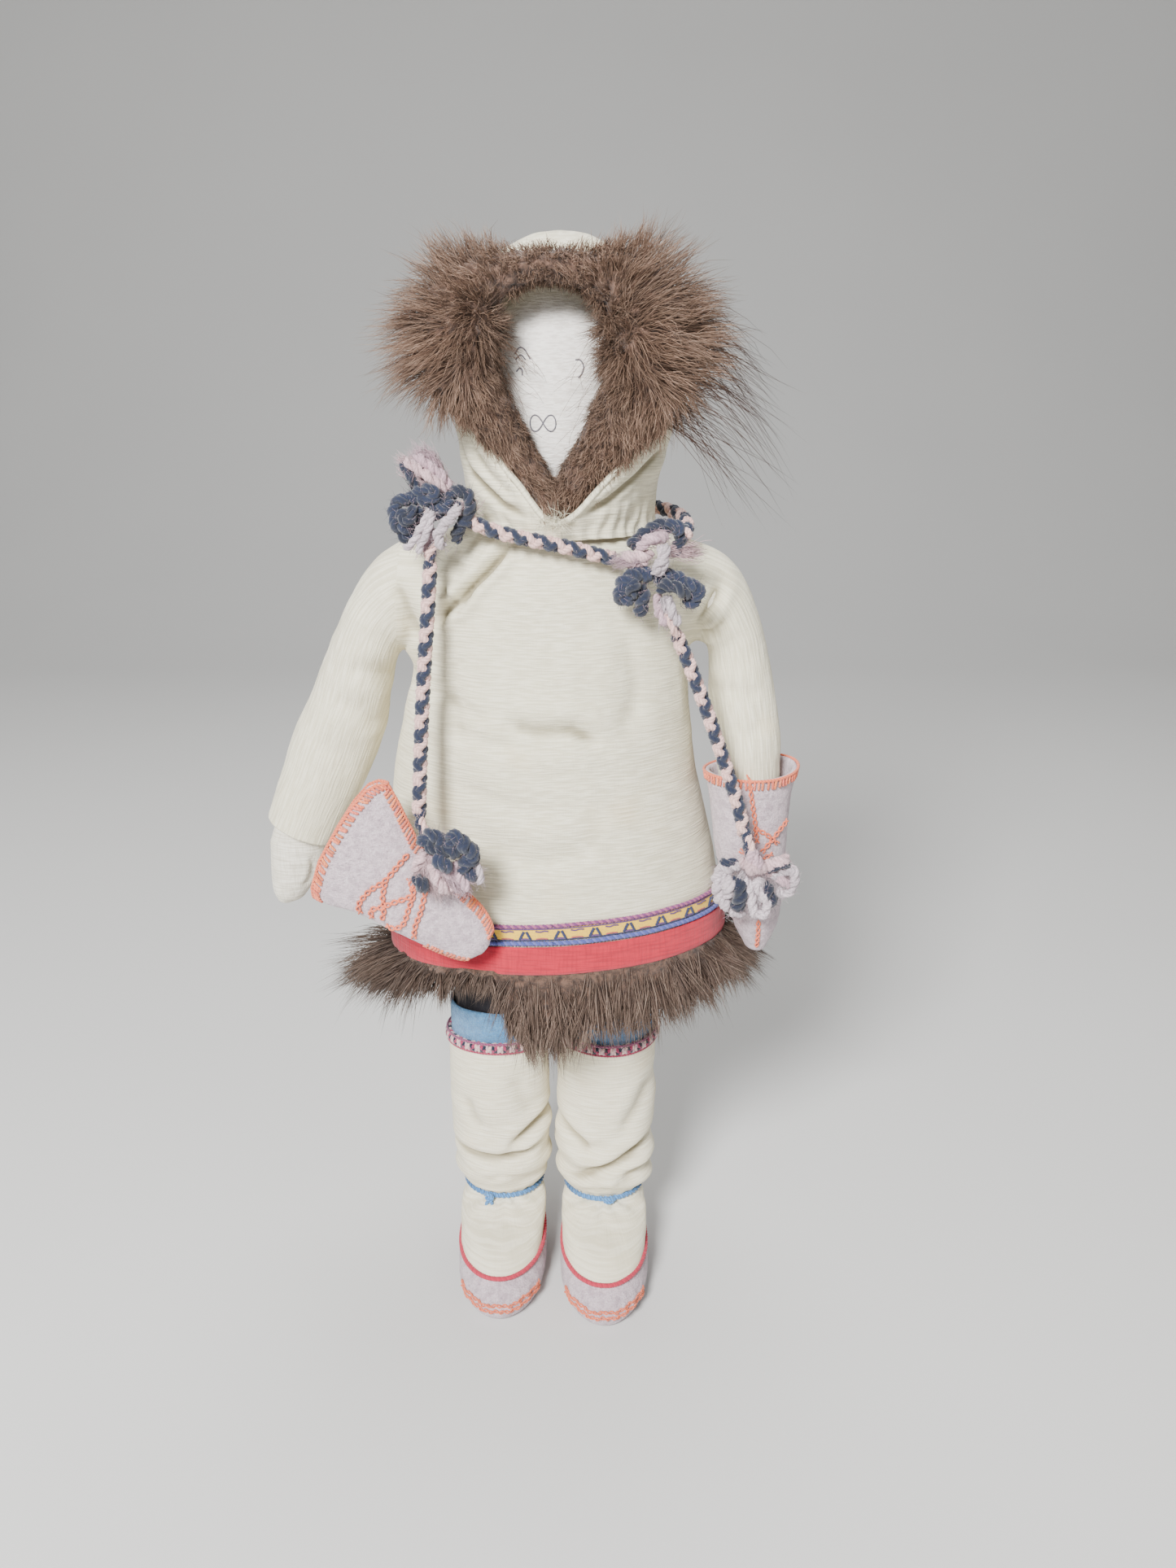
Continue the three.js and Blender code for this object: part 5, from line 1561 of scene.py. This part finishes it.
tassel("right_shoulder_yarn", "right_shoulder_tassel", "torso", -27, [
    (SHADED_NAVY, 1.35, [(-28.6, 268.8), (-26.6, 270.5), (-24.1, 270.7), (-22.4, 268.8), (-22.3, 266.1), (-22.9, 263.7),
                  (-25, 261.7), (-26.2, 259), (-27.1, 257.2)], 1.0),
    (NAVY, 1.2, [(-37.7, 270.4), (-35.5, 270.9), (-33, 271.7), (-31.4, 270.7), (-32.3, 269), (-34.5, 268.5),
                 (-36.4, 269.6)], 2.5),
    (SHADED_NAVY, 1.05, [(-41.3, 277.6), (-39.6, 276.8), (-38.6, 274.9), (-37.3, 272.5), (-36.6, 270.6)], 0.0),
    (NAVY, 1.4, [(-36.1, 268.6), (-39.8, 268.7), (-42.6, 267.2), (-43.4, 264.3), (-42.8, 261.7), (-40.6, 260.8),
                 (-38.7, 261.8), (-37.2, 264.3), (-36.2, 266.5)], 1.0),
    (SHADED_NAVY, 1.2, [(-39.8, 265.8), (-41, 264), (-39.9, 262.6), (-38, 264.5), (-38.2, 267)], 3.0),
    (SHADED_NAVY, 1.15, [(-42.4, 260), (-41, 258.2), (-39.3, 258.4), (-38.2, 260.6)], 0.5),
    (SHADED_NAVY, 1.2, [(-31.5, 270.6), (-30.2, 267.9), (-30.9, 264.9), (-33.2, 263.5)], 1.0),
    (NAVY, 1.2, [(-27.5, 268.6), (-28.6, 266.6), (-30.8, 266.2), (-33.4, 267.6)], 2.0),
    (CHALK, 0.85, [(-33.1, 266.2), (-34.3, 263.5), (-36.1, 260.5), (-38.2, 257.2), (-40.6, 255.6)], 4.2),
    (CHALK, 0.85, [(-32.5, 265.7), (-33.1, 263), (-34.4, 259.4), (-36.3, 256.3), (-36.7, 254.4)], 4.6),
    (CHALK, 1.15, [(-25.2, 267.3), (-26.6, 265), (-29.2, 262), (-31, 259.2), (-30.8, 257.2), (-29.4, 256)], 4.0),
    (MAUVE, 1.15, [(-28, 271.4), (-29.4, 273.8), (-31.9, 276.4), (-35, 278.6), (-37.6, 279.6)], 0.0),
    (ROSE, 1.1, [(-28.6, 270.8), (-30.8, 272.9), (-34.1, 275.2), (-37, 277.2), (-39.6, 278.8)], 1.6),
    (NAVY, 0.95, [(-31.6, 259.6), (-32.4, 257), (-33.4, 254), (-34, 250.6)], 1.4),
    (PINK, 0.85, [(-30.6, 259.4), (-31.9, 256.6), (-34.2, 254.2), (-34.4, 251)], 2.2),
], 141, [((-28.5, -27, 271.5), (-36.5, -26, 281), 1.7, 420, MAUVE),
         ((-30, -28, 271), (-41, -27, 279), 1.3, 240, ROSE),
         ((-29, -26, 272), (-34, -25, 280.5), 1.1, 130, CHALK), ((-36, -26, 268), (-39.8, -25, 276), 0.9, 90, SHADED_NAVY),
         ((-33, -30, 260), (-35.5, -29, 254.6), 1.6, 160, MAUVE), ((-25, -28, 264), (-21, -28, 268), 1.6, 90, ROSE)])

tassel("left_shoulder_yarn", "left_shoulder_tassel", "torso", -30, [
    (SHADED_NAVY, 1.3, [(22.6, 255.3), (22.6, 257.4), (24.7, 259.2), (27.5, 261.2), (29.6, 262.4), (31.8, 261.6),
                 (34, 261.4),
                 (35.2, 258.9), (34.8, 256.1), (33.5, 253.9)], 0.6),
    (NAVY, 1.25, [(31.2, 261.5), (32.8, 262.7), (34.4, 261.6), (34.2, 259.8)], 2.2),
    (ROSE, 1.3, [(19.6, 253), (21.8, 253.6), (24.6, 253.7), (27.8, 254.1)], 2.0),
    (MAUVE, 1.2, [(23.9, 255.4), (26, 258), (29.1, 259.2), (31.6, 258.4)], 2.6),
    (ROSE, 0.95, [(20.6, 251.4), (23.4, 251.5), (26.6, 252.2)], 1.5),
    (CHALK, 1.1, [(30.8, 257.2), (31.2, 254.8), (29.3, 251.7), (28.1, 249.2)], 4.6),
    (CHALK, 0.9, [(29.5, 256.8), (30.1, 254.3), (30.9, 251.3), (28.9, 249)], 4.2),
    (NAVY, 1.6, [(27.7, 247.6), (24.6, 249), (21.9, 248.4), (19.9, 246.4), (18.9, 243.8), (19.4, 241.8),
                 (21.2, 242.2),
                 (22.6, 244.4), (24.4, 245.8)], 1.6),
    (SHADED_NAVY, 1.3, [(24, 247.4), (22.6, 246), (21.8, 244.2), (23.2, 243.2)], 3.4),
    (SHADED_NAVY, 1.5, [(24.6, 245.8), (25.4, 242.4), (24.9, 239.6), (24, 237.4)], 1.2),
    (NAVY, 1.55, [(28.8, 246.3), (31.4, 248.6), (34.6, 247.7), (37.3, 246.1), (39.8, 245.4), (40.4, 243.1),
                  (38.9, 241),
                  (37.1, 240)], 1.2),
    (SHADED_NAVY, 1.45, [(29.3, 245.1), (32.7, 245.9), (36.2, 244.5), (38, 242.9)], 3.2),
    (MAUVE, 1.1, [(29.5, 243), (29.5, 239.4), (30.8, 236.4), (32, 234.4)], 1.0),
    (CHALK, 1.05, [(32.2, 242.4), (33.2, 239.2), (34.4, 236.4), (35.2, 234.6)], 1.8),
    (NAVY, 0.95, [(32.4, 241), (33, 237.6), (34, 234.6), (35, 231.4)], 0.4),
    (PINK, 0.85, [(31.6, 240), (32.2, 236.6), (34, 233.4), (35.2, 230.8)], 1.2),
], 151, [((31, -33, 255), (41.5, -29, 254.4), 1.5, 130, ROSE), ((24, -34, 253), (17.6, -32, 252), 1.3, 160, MAUVE),
         ((31, -33, 242), (33, -31, 234.5), 1.4, 170, CHALK), ((26, -33, 258), (31, -33, 259), 1.5, 150, MAUVE),
         ((21, -34, 247), (20, -33, 242), 1.4, 110, SHADED_NAVY), ((36, -34, 246), (39.5, -32, 241.5), 1.4, 110, SHADED_NAVY)])

tassel("right_mitten_yarn", "right_mitten_tassel", "right_mitten", -48.5, [
    (NAVY, 1.7, [(-37.6, 174.5), (-35.9, 176.9), (-33.4, 177.8), (-31.2, 175.8), (-29.3, 174.6), (-28.2, 177.6),
                 (-26.2, 177), (-24.9, 174.7), (-23.2, 173.8), (-22.4, 171.3), (-24.8, 169.9), (-25.5, 167.2),
                 (-23.4, 165.6), (-22, 164.3)], 0.0),
    (SHADED_NAVY, 1.5, [(-35.6, 175.4), (-33.6, 174.4), (-31.4, 173.6), (-28.6, 173.4), (-26.6, 172)], 1.2),
    (NAVY, 1.7, [(-32.6, 172.7), (-30.9, 170.6), (-29.7, 168.6)], 3.0),
    (SHADED_NAVY, 1.6, [(-38.6, 165.8), (-37.4, 164.3), (-36.6, 162.3)], 2.4),
    (ROSE, 1.2, [(-36, 173.1), (-38.2, 170.1), (-39.4, 166.6)], 1.0),
    (ROSE, 1.25, [(-34.7, 170.1), (-33.6, 166.4), (-32, 163.2), (-29.6, 160.6)], 1.6),
    (MAUVE, 1.1, [(-28.4, 169.7), (-26.7, 166.1), (-25.2, 163), (-24.4, 161)], 1.0),
    (CHALK, 0.9, [(-22.2, 169), (-20.9, 166.1), (-21.5, 162.4)], 0.0),
    (MAUVE, 1.2, [(-35.4, 171.6), (-33, 168.4), (-29.8, 166.2), (-27.2, 167.4)], 0.6),
    (NAVY, 1.0, [(-38.6, 181), (-38.2, 178.6), (-37.4, 176.2), (-36, 174)], -5.6),
    (PINK, 0.9, [(-37.8, 181), (-37.2, 178.4), (-36, 176.4), (-35, 174.6)], -5.0),
], 161, [((-34.5, -51, 170), (-32, -49.5, 160.5), 1.9, 330, ROSE),
         ((-30, -51, 168), (-25.5, -49.5, 160.8), 1.7, 260, MAUVE),
         ((-36, -51, 170), (-38.6, -49.5, 163.5), 1.3, 200, ROSE),
         ((-38, -51, 165), (-36.4, -50, 161.8), 1.0, 90, SHADED_NAVY)])

tassel("left_mitten_yarn", "left_mitten_tassel", "left_mitten", -33, [
    (CHALK, 1.5, [(56, 162), (52.4, 161.2), (49.6, 160.2), (48.9, 157), (49.7, 152.4), (51.8, 149.2), (54.9, 146.6),
                  (57.4, 146.2)], 0.0),
    (CHALK, 1.6, [(51.3, 159.4), (52.1, 156.1), (51.4, 152.5)], 1.4),
    (SHADED_NAVY, 1.7, [(54.4, 158.9), (55.6, 154.5), (55.5, 150.9), (54.4, 148.6)], 1.8),
    (NAVY, 1.0, [(49.6, 162.8), (52, 163.1), (54.7, 162.9)], 0.4),
    (CHALK, 1.15, [(56.4, 158.5), (58, 156.6), (59.1, 151.9), (60.4, 147.2), (63.2, 147.2), (63.8, 150.5),
                   (61.8, 154.2),
                   (60, 156.6), (62.2, 157.7)], 2.2),
    (SHADED_NAVY, 1.5, [(63, 156.8), (64.4, 153), (65.9, 149.6)], 1.2),
    (ROSE, 1.8, [(56, 164.6), (59.4, 162.2), (62.4, 161.6)], 1.6),
    (MAUVE, 1.6, [(58, 167.6), (59.4, 165), (60.2, 161.6)], 2.0),
    (ROSE, 1.5, [(62.9, 161.4), (66.4, 163.2), (70, 164.2)], 0.6),
    (CHALK, 1.2, [(64.7, 158.3), (68.4, 160.1), (71.2, 160.8), (72, 157.8), (70.9, 154.7), (69.1, 152.6),
                  (67.2, 154.2)], 0.8),
    (MAUVE, 1.1, [(66.5, 158), (69, 157.2), (70.2, 155.4)], 1.6),
    (SHADED_NAVY, 0.7, [(63.6, 160.5), (67.1, 162.5), (70.3, 162.5)], 2.4),
    (NAVY, 1.0, [(56.4, 173), (57, 170), (57.4, 167), (58.2, 164.4)], 1.6),
    (PINK, 0.9, [(57.2, 172.4), (58, 169.6), (58.6, 166.4), (59, 164)], 2.4),
], 171, [((56, -36, 160), (52, -34, 150), 1.3, 110, CHALK), ((62, -36, 158), (62, -35, 148), 1.2, 90, CHALK),
         ((64, -35, 160), (71, -33, 158), 1.3, 110, ROSE)])


# ---- Legs and boots

# Each leg's word, x at the hip and at the foot, and y at the foot.
LEGS = {-1: ("right", -22, -20, 0), 1: ("left", 17, 15.5, -3)}


def leg_axis(side, z):
    """Where the middle of a leg is at a height."""
    _, hip, foot, foot_y = LEGS[side]
    return foot + (hip - foot) * z / 128, foot_y * (1 - np.minimum(1, z / 60))


def leg_rings(side, table, rows, around):
    """Level rings round a leg through rows of (z, half width, half depth); their points and outward directions."""
    table = spline(table, rows)
    x, y = leg_axis(side, table[:, 0])
    angle = circle(around)
    rings = np.stack([x[:, None] + table[:, 1:2] * np.cos(angle), y[:, None] + table[:, 2:3] * np.sin(angle),
                      np.broadcast_to(table[:, :1], (rows, around))], -1)
    flat = rings.reshape(-1, 3)
    x, y = leg_axis(side, flat[:, 2])
    return rings, flat, unit(np.stack([flat[:, 0] - x, flat[:, 1] - y, flat[:, 0] * 0], -1))


def leg_weave(side, points):
    """Cloth coordinates round and up a leg."""
    x, y = leg_axis(side, points[:, 2])
    around = np.arctan2(points[:, 0] - x, -(points[:, 1] - y)) * 15
    return np.stack([around, points[:, 2], points[:, 0] * 0], -1) / 1000


def leg_piece(cloth, side, name, material, slot, node):
    word = LEGS[side][0]
    cloth.piece(f"{word}_{name}", material, f"{word}_leg", slot, (f"{word}_{node}",))


SHAFT_FOLDS = {
    -1: [
        (2.2, 1.9, [(-18.1, 47), (-10.1, 52.5), (-0.8, 57.8)]),
        (2.6, 2.0, [(-40, 43.4), (-30, 43.2), (-20, 43.0), (-11.2, 44.1), (-5.3, 46.3)]),
        (0.9, 2.4, [(-32.4, 66.5), (-29.7, 58.7), (-25.9, 53.4)]),
        (0.8, 1.8, [(-28, 34), (-20, 37), (-12, 34)]),
        (0.7, 3.0, [(-15, 76), (-13, 66), (-9, 58)]),
    ],
    1: [
        (1.8, 2.0, [(-2, 55), (5.9, 49.7), (11, 45.5)]),
        (2.4, 2.0, [(2.4, 33.2), (14.7, 38.3), (23.5, 42.7), (34.2, 48.6)]),
        (1.0, 2.6, [(20.9, 53), (27.6, 61.7), (33.2, 72.7)]),
        (0.9, 1.8, [(8.8, 29.3), (13.2, 32.4), (18.4, 29.3)]),
        (1.2, 2.2, [(22, 34), (29, 36), (34, 39)]),
    ],
}
SHAFT = [(25.2, 12.6, 10.8), (26.6, 13.6, 11.8), (30, 16.2, 14.3), (36, 16.6, 14.9), (42, 16.9, 15), (60, 17.2, 15),
         (84.4, 17, 14.8)]


def shaft(side):
    """The soft boot leg, slouched in folds above the tie."""
    rings, flat, out = leg_rings(side, SHAFT, 130, 150)
    free = ramp(flat[:, 2], 26, 6) * ramp(flat[:, 2], 83.5, -8)
    folds = SHAFT_FOLDS[side]
    creases = folded(flat, out, [(1.3 * d, w, line) for d, w, line in folds], wrap=0.6)
    behind = [(d, w, [(2 * LEGS[side][2] - a, b + 1.5) for a, b in line]) for d, w, line in folds]
    move = creases + folded(flat, out, behind, 1)
    angle = np.arctan2(out[:, 1], out[:, 0])
    slouch = ramp(flat[:, 2], 50, -12) * ramp(flat[:, 2], 26, 4)
    move += slouch * np.sin(flat[:, 2] * 0.62 + 1.2 * np.sin(angle + side) + side)
    move += 0.5 * fractal(flat / [12, 12, 8], 180 + side)
    tuck = np.exp(-(((flat[:, 2] - 25.6) / 1.8) ** 2)) * np.sin(angle * 17 + side) * 0.3
    flat = flat + out * (move * free + tuck)[:, None]
    flat[:, 2] -= slouch * 0.6 * np.sin(angle * 2 + side)
    rows, out = flat.reshape(rings.shape), out.reshape(rings.shape)[-1]
    rim = [rows[-1] - out * f + [0, 0, h] for f, h in ((0.2, 0.3), (0.6, 0.35), (0.95, 0.0), (1.0, -5))]
    rows = np.concatenate([rows, rim])
    cloth = Cloth()
    weave = leg_weave(side, rows.reshape(-1, 3))
    # The weave's third part is the painted shade in the boot leg's creases.
    weave[:len(flat), 2] = np.clip(-creases / 3.4, 0, 0.6) * free
    cloth.grid(rows, weave=weave)
    leg_piece(cloth, side, "boot_shaft_cloth", BOOT_COTTON, "boot_cotton", "boot_shaft")


TROUSER = [(84.5, 14, 12), (86, 14.3, 12.2), (104, 14.2, 12.1), (127.6, 14.1, 12)]


def trouser(side):
    """The black trouser leg above the boot."""
    rings, flat, out = leg_rings(side, TROUSER, 60, 90)
    flat = flat + out * (0.45 * fractal(flat / 7, 190 + side) - 0.2)[:, None]
    cloth = Cloth()
    cloth.grid(flat.reshape(rings.shape))
    leg_piece(cloth, side, "trouser_cloth", BLACK, "black_cotton", "trouser_leg")


LINER = [(67, 14.4, 12.4), (80, 14.7, 12.7), (84.5, 15.8, 13.7), (96, 15.9, 13.8), (98.6, 15.8, 13.7),
         (99.1, 15.3, 13.2), (98.6, 14.8, 12.8), (90, 14.6, 12.6)]


def liner(side):
    """The blue felt lining that stands above the boot leg."""
    rings, flat, out = leg_rings(side, LINER, 80, 110)
    flat = flat + out * (0.2 * fractal(flat / 6, 195 + side) + 0.06 * noise(flat / 1.4, 196))[:, None]
    flat[:, 2] += 0.5 * noise(flat / [9, 9, 80], 197) * ramp(flat[:, 2], 92, 5)
    cloth = Cloth()
    cloth.grid(flat.reshape(rings.shape))
    leg_piece(cloth, side, "liner_felt", BLUE_FELT, "blue_felt", "boot_liner")


TRIM_SHADES = (NAVY * 0.85, ROSE, dye(168, 52, 92), PINK)
TRIM_TURNS = 14


def trim(side):
    """Navy, pink and red yarns plaited round the top of the boot leg."""
    angle = circle(420)
    x, y = leg_axis(side, 86.8)
    wave = 0.5 * np.sin(angle * 2 + side)
    line = np.stack([x + 17.0 * np.cos(angle), y + 14.9 * np.sin(angle), 86.4 + wave], -1)
    out = unit(np.stack([np.cos(angle) / 17, np.sin(angle) / 14.9, angle * 0], -1))
    cloth = Cloth()
    for k, shade in enumerate(TRIM_SHADES):
        phase = angle * TRIM_TURNS + k * np.pi / 2
        path = line + out * (0.55 * np.cos(2 * phase))[:, None]
        path[:, 2] += 1.45 * np.sin(phase)
        cloth.tube(path, 0.66, 8, lobes=3, depth=0.12, twist=0.4, closed=True, colour=shade)
    for z, shade in ((84.75, dye(172, 58, 88)), (88.3, dye(150, 72, 110))):
        ring = line * [1, 1, 0] + np.stack([angle * 0, angle * 0, z + wave], -1) + out * 0.4
        cloth.tube(ring, 0.38, 6, lobes=2, twist=0.5, closed=True, colour=shade)
    cloth.strands(*fuzz(line, 1.4, 260, [NAVY, ROSE], 200 + side, (0.4, 1.2), 0.028))
    leg_piece(cloth, side, "boot_trim_yarn", YARN, "yarn", "boot_braid")


# The tie's blue, and a darker blue for the painted shade on it.
SKY, TIE_SHADE = dye(84, 146, 208), dye(44, 56, 84)
KNOTS = {  # where each tie's knot sits, from the leg's middle, and its loops
    -1: ((-4.5, -12, 25.4), [
        [(-1.6, 0, 0.4), (-0.6, -1.1, 1.1), (0.8, -1.2, 0.6), (0.9, -1.0, -0.7), (-0.4, -1.1, -0.9),
         (-1.4, -0.6, -0.1)],
        [(0.2, -1.0, 0.2), (-0.6, -1.5, -1.3), (-1.2, -1.3, -2.6), (-1.0, -1.0, -3.6)],
        [(0.5, -1.0, 0), (0.4, -1.4, -1.4), (0.9, -1.2, -2.7)],
    ]),
    1: ((1.5, -12.6, 25.4), [
        [(-2.2, 0, 0), (-1.0, -0.9, 0.7), (0.6, -1.0, 0.8), (2.0, -0.6, 0.3)],
        [(-1.6, -0.4, -0.3), (0, -1.0, -0.5), (1.7, -0.4, -0.4)],
    ]),
}


def tie(side):
    """The ankle tie: two twisted strands round the ankle, knotted in front, with shade painted on towards the sides
    and back.
    """
    cloth = Cloth()
    angle = circle(260)
    x, y = leg_axis(side, 25.2)
    height = 25.3 + 0.35 * np.sin(angle + side)
    line = np.stack([x + 13.5 * np.cos(angle), y + 11.7 * np.sin(angle), height], -1)
    # Painted shade: the blue darkens towards the sides and back of the ankle.
    blue = 0.4 + 0.6 * np.clip(np.clip(-np.sin(angle), 0, 1) * 1.8 - 0.75, 0, 1)
    shade = np.repeat((TIE_SHADE + (SKY - TIE_SHADE) * blue[:, None])[:, None], 8, axis=1)
    shade = np.concatenate([shade, shade[:1]])
    two_ply(cloth, line, 26, 0.42, 0.55, 8, (shade, shade), lobes=2, twist=0.4)
    place, loops = KNOTS[side]
    for loop in loops:
        cloth.tube(even(np.array(loop) + place + [x, y, 0], 0.2), 0.62, 8, lobes=2, twist=0.5, colour=SKY)
    leg_piece(cloth, side, "tie_yarn", YARN, "tie_yarn", "ankle_tie")


def toe_ring(side, z, y, a, b, around=120):
    """A foot outline: an oval that widens a little towards the toe."""
    angle = circle(around)
    widen = 1 + 0.1 * np.clip(-np.sin(angle), 0, 1)
    x = leg_axis(side, z)[0] + a * widen * np.cos(angle)
    return np.stack([x, y + b * np.sin(angle), np.full(around, float(z))], -1)


def vamp(side):
    """The cloth upper of the foot, puckered under the tie."""
    foot_y = LEGS[side][3]
    top_y = leg_axis(side, 25.0)[1]
    table = [(25.6, top_y, 12.4, 10.6), (23.6, top_y, 13.4, 11.6), (21.4, foot_y - 2.5, 14.7, 15.0),
             (18, foot_y - 8.0, 15.0, 21.2), (13.4, foot_y - 12.8, 14.3, 26.0)]
    rows = np.array([toe_ring(side, *row) for row in spline(table, 70)])
    flat = rows.reshape(-1, 3)
    out = unit(flat - [leg_axis(side, 18.0)[0], foot_y - 8, 8])
    angle = np.arctan2(flat[:, 1] - foot_y + 8, flat[:, 0] - leg_axis(side, flat[:, 2])[0])
    move = 0.5 * fractal(flat / 7, 210 + side) + ramp(flat[:, 2], 19, 5) * 0.45 * np.sin(angle * 9 + side)
    x = leg_axis(side, 20.0)[0]
    move += folded(flat, out, [(0.9, 1.6, [(x - 8, 19.5), (x + 1, 20.6), (x + 8, 18.6)])])
    flat = flat + out * (move * np.clip((25.8 - flat[:, 2]) / 3, 0.2, 1))[:, None]
    cloth = Cloth()
    cloth.grid(flat.reshape(rows.shape), weave=leg_weave(side, flat))
    leg_piece(cloth, side, "vamp_cloth", BOOT_COTTON, "boot_cotton", "boot_vamp")


PIPING_RED = dye(198, 44, 72)


def piping(side):
    """The red cord where the upper meets the sole."""
    rim = toe_ring(side, 12.9, LEGS[side][3] - 12.8, 14.6, 26.4, 420)
    rim[:, 2] += 0.12 * noise(rim / 3, 220)
    red = Cloth()
    two_ply(red, rim, 60, 0.3, 0.58, 8, (PIPING_RED, PIPING_RED * 0.88))
    leg_piece(red, side, "piping_cord", THREAD, "red_piping", "vamp_piping")


SOLE = [(12.3, -12.8, 13.9, 25.9), (11, -13.2, 14.9, 27.0), (6.4, -15.5, 15.3, 29.8), (2.4, -15.7, 14.6, 29.4),
        (0.7, -15.6, 13.4, 28.2), (0.15, -15.5, 12.4, 27.2), (0.05, -15.5, 9.0, 22)]


def sole(side):
    """The felt sole, drawn in at the toe, and the double row of stitches there."""
    foot_y = LEGS[side][3]
    x = leg_axis(side, 6.0)[0]
    rows = np.array([toe_ring(side, z, foot_y + y, a, b) for z, y, a, b in spline(SOLE, 50)])
    flat = rows.reshape(-1, 3)
    out = unit(flat - [x, foot_y - 15.5, 6])
    lift = 0.22 * fractal(flat / 6, 230 + side) * np.clip(flat[:, 2] / 2, 0, 1)
    toe = ramp(flat[:, 1] - foot_y, -30, -6) * ramp(flat[:, 2], 2.5, 2) * ramp(flat[:, 2], 10, -3)
    across = np.sin((flat[:, 0] - leg_axis(side, flat[:, 2])[0]) * 2.1) * 0.35
    flat = flat + out * (lift + toe * across)[:, None]
    flat[:, 2] = np.maximum(flat[:, 2], 0.05)
    felt_sole, stitches = Cloth(), Cloth()
    felt_sole.grid(flat.reshape(rows.shape)[::-1], caps=(True, False))
    tree = felt_sole.surface()
    leg_piece(felt_sole, side, "sole_felt", LILAC_FELT, "lilac_felt", "boot_sole")
    rng = np.random.default_rng(240 + side)
    for height, phase in ((6.9, 0), (5.2, 1)):
        arc = []
        for t in np.radians(np.linspace(-146, -34, 90)):
            target = Vector((x + 18 * math.cos(t), foot_y - 15.5 + 34 * math.sin(t),
                             height + 0.25 * math.sin(t * 11)))
            aim = (Vector((x, foot_y - 15.5, height)) - target).normalized()
            hit = tree.ray_cast(target + aim * -6, aim)[0]
            if hit is not None:
                arc.append(np.array(hit) - np.array(aim) * 0.25)
        chain_stitch(stitches, even(arc, 0.25), 0.5, 0.26, 2.0, ORANGE * rng.uniform(0.95, 1.1), phase)
    leg_piece(stitches, side, "toe_stitches", THREAD, "orange_thread", "toe_stitching")


for leg_side in (-1, 1):
    for make in (shaft, trouser, liner, trim, tie, vamp, piping, sole):
        make(leg_side)


# ---- Floor

def studio_floor():
    """A pale floor that curves up into a wall behind the doll."""
    profile = [(-1.6, 0.0), (0.9, 0.0)]
    profile += [(0.9 + 0.7 * math.sin(a), 0.7 - 0.7 * math.cos(a)) for a in np.linspace(0.1, math.pi / 2, 12)]
    profile += [(1.6, 2.6)]
    mesh = bpy.data.meshes.new("floor")
    points = [(x, y, z) for y, z in profile for x in (-2.2, 2.2)]
    faces = [(2 * i, 2 * i + 1, 2 * i + 3, 2 * i + 2) for i in range(len(profile) - 1)]
    mesh.from_pydata(points, [], faces)
    for face in mesh.polygons:
        face.use_smooth = True
    floor = linked("floor", mesh)
    m = Nodes("floor_paper", 0.85)
    m.colour(m.mix(m.noise(m.place(), 3.0, 2.0), linear(214, 213, 210), linear(206, 205, 203)))
    mesh.materials.append(m.material)


studio_floor()
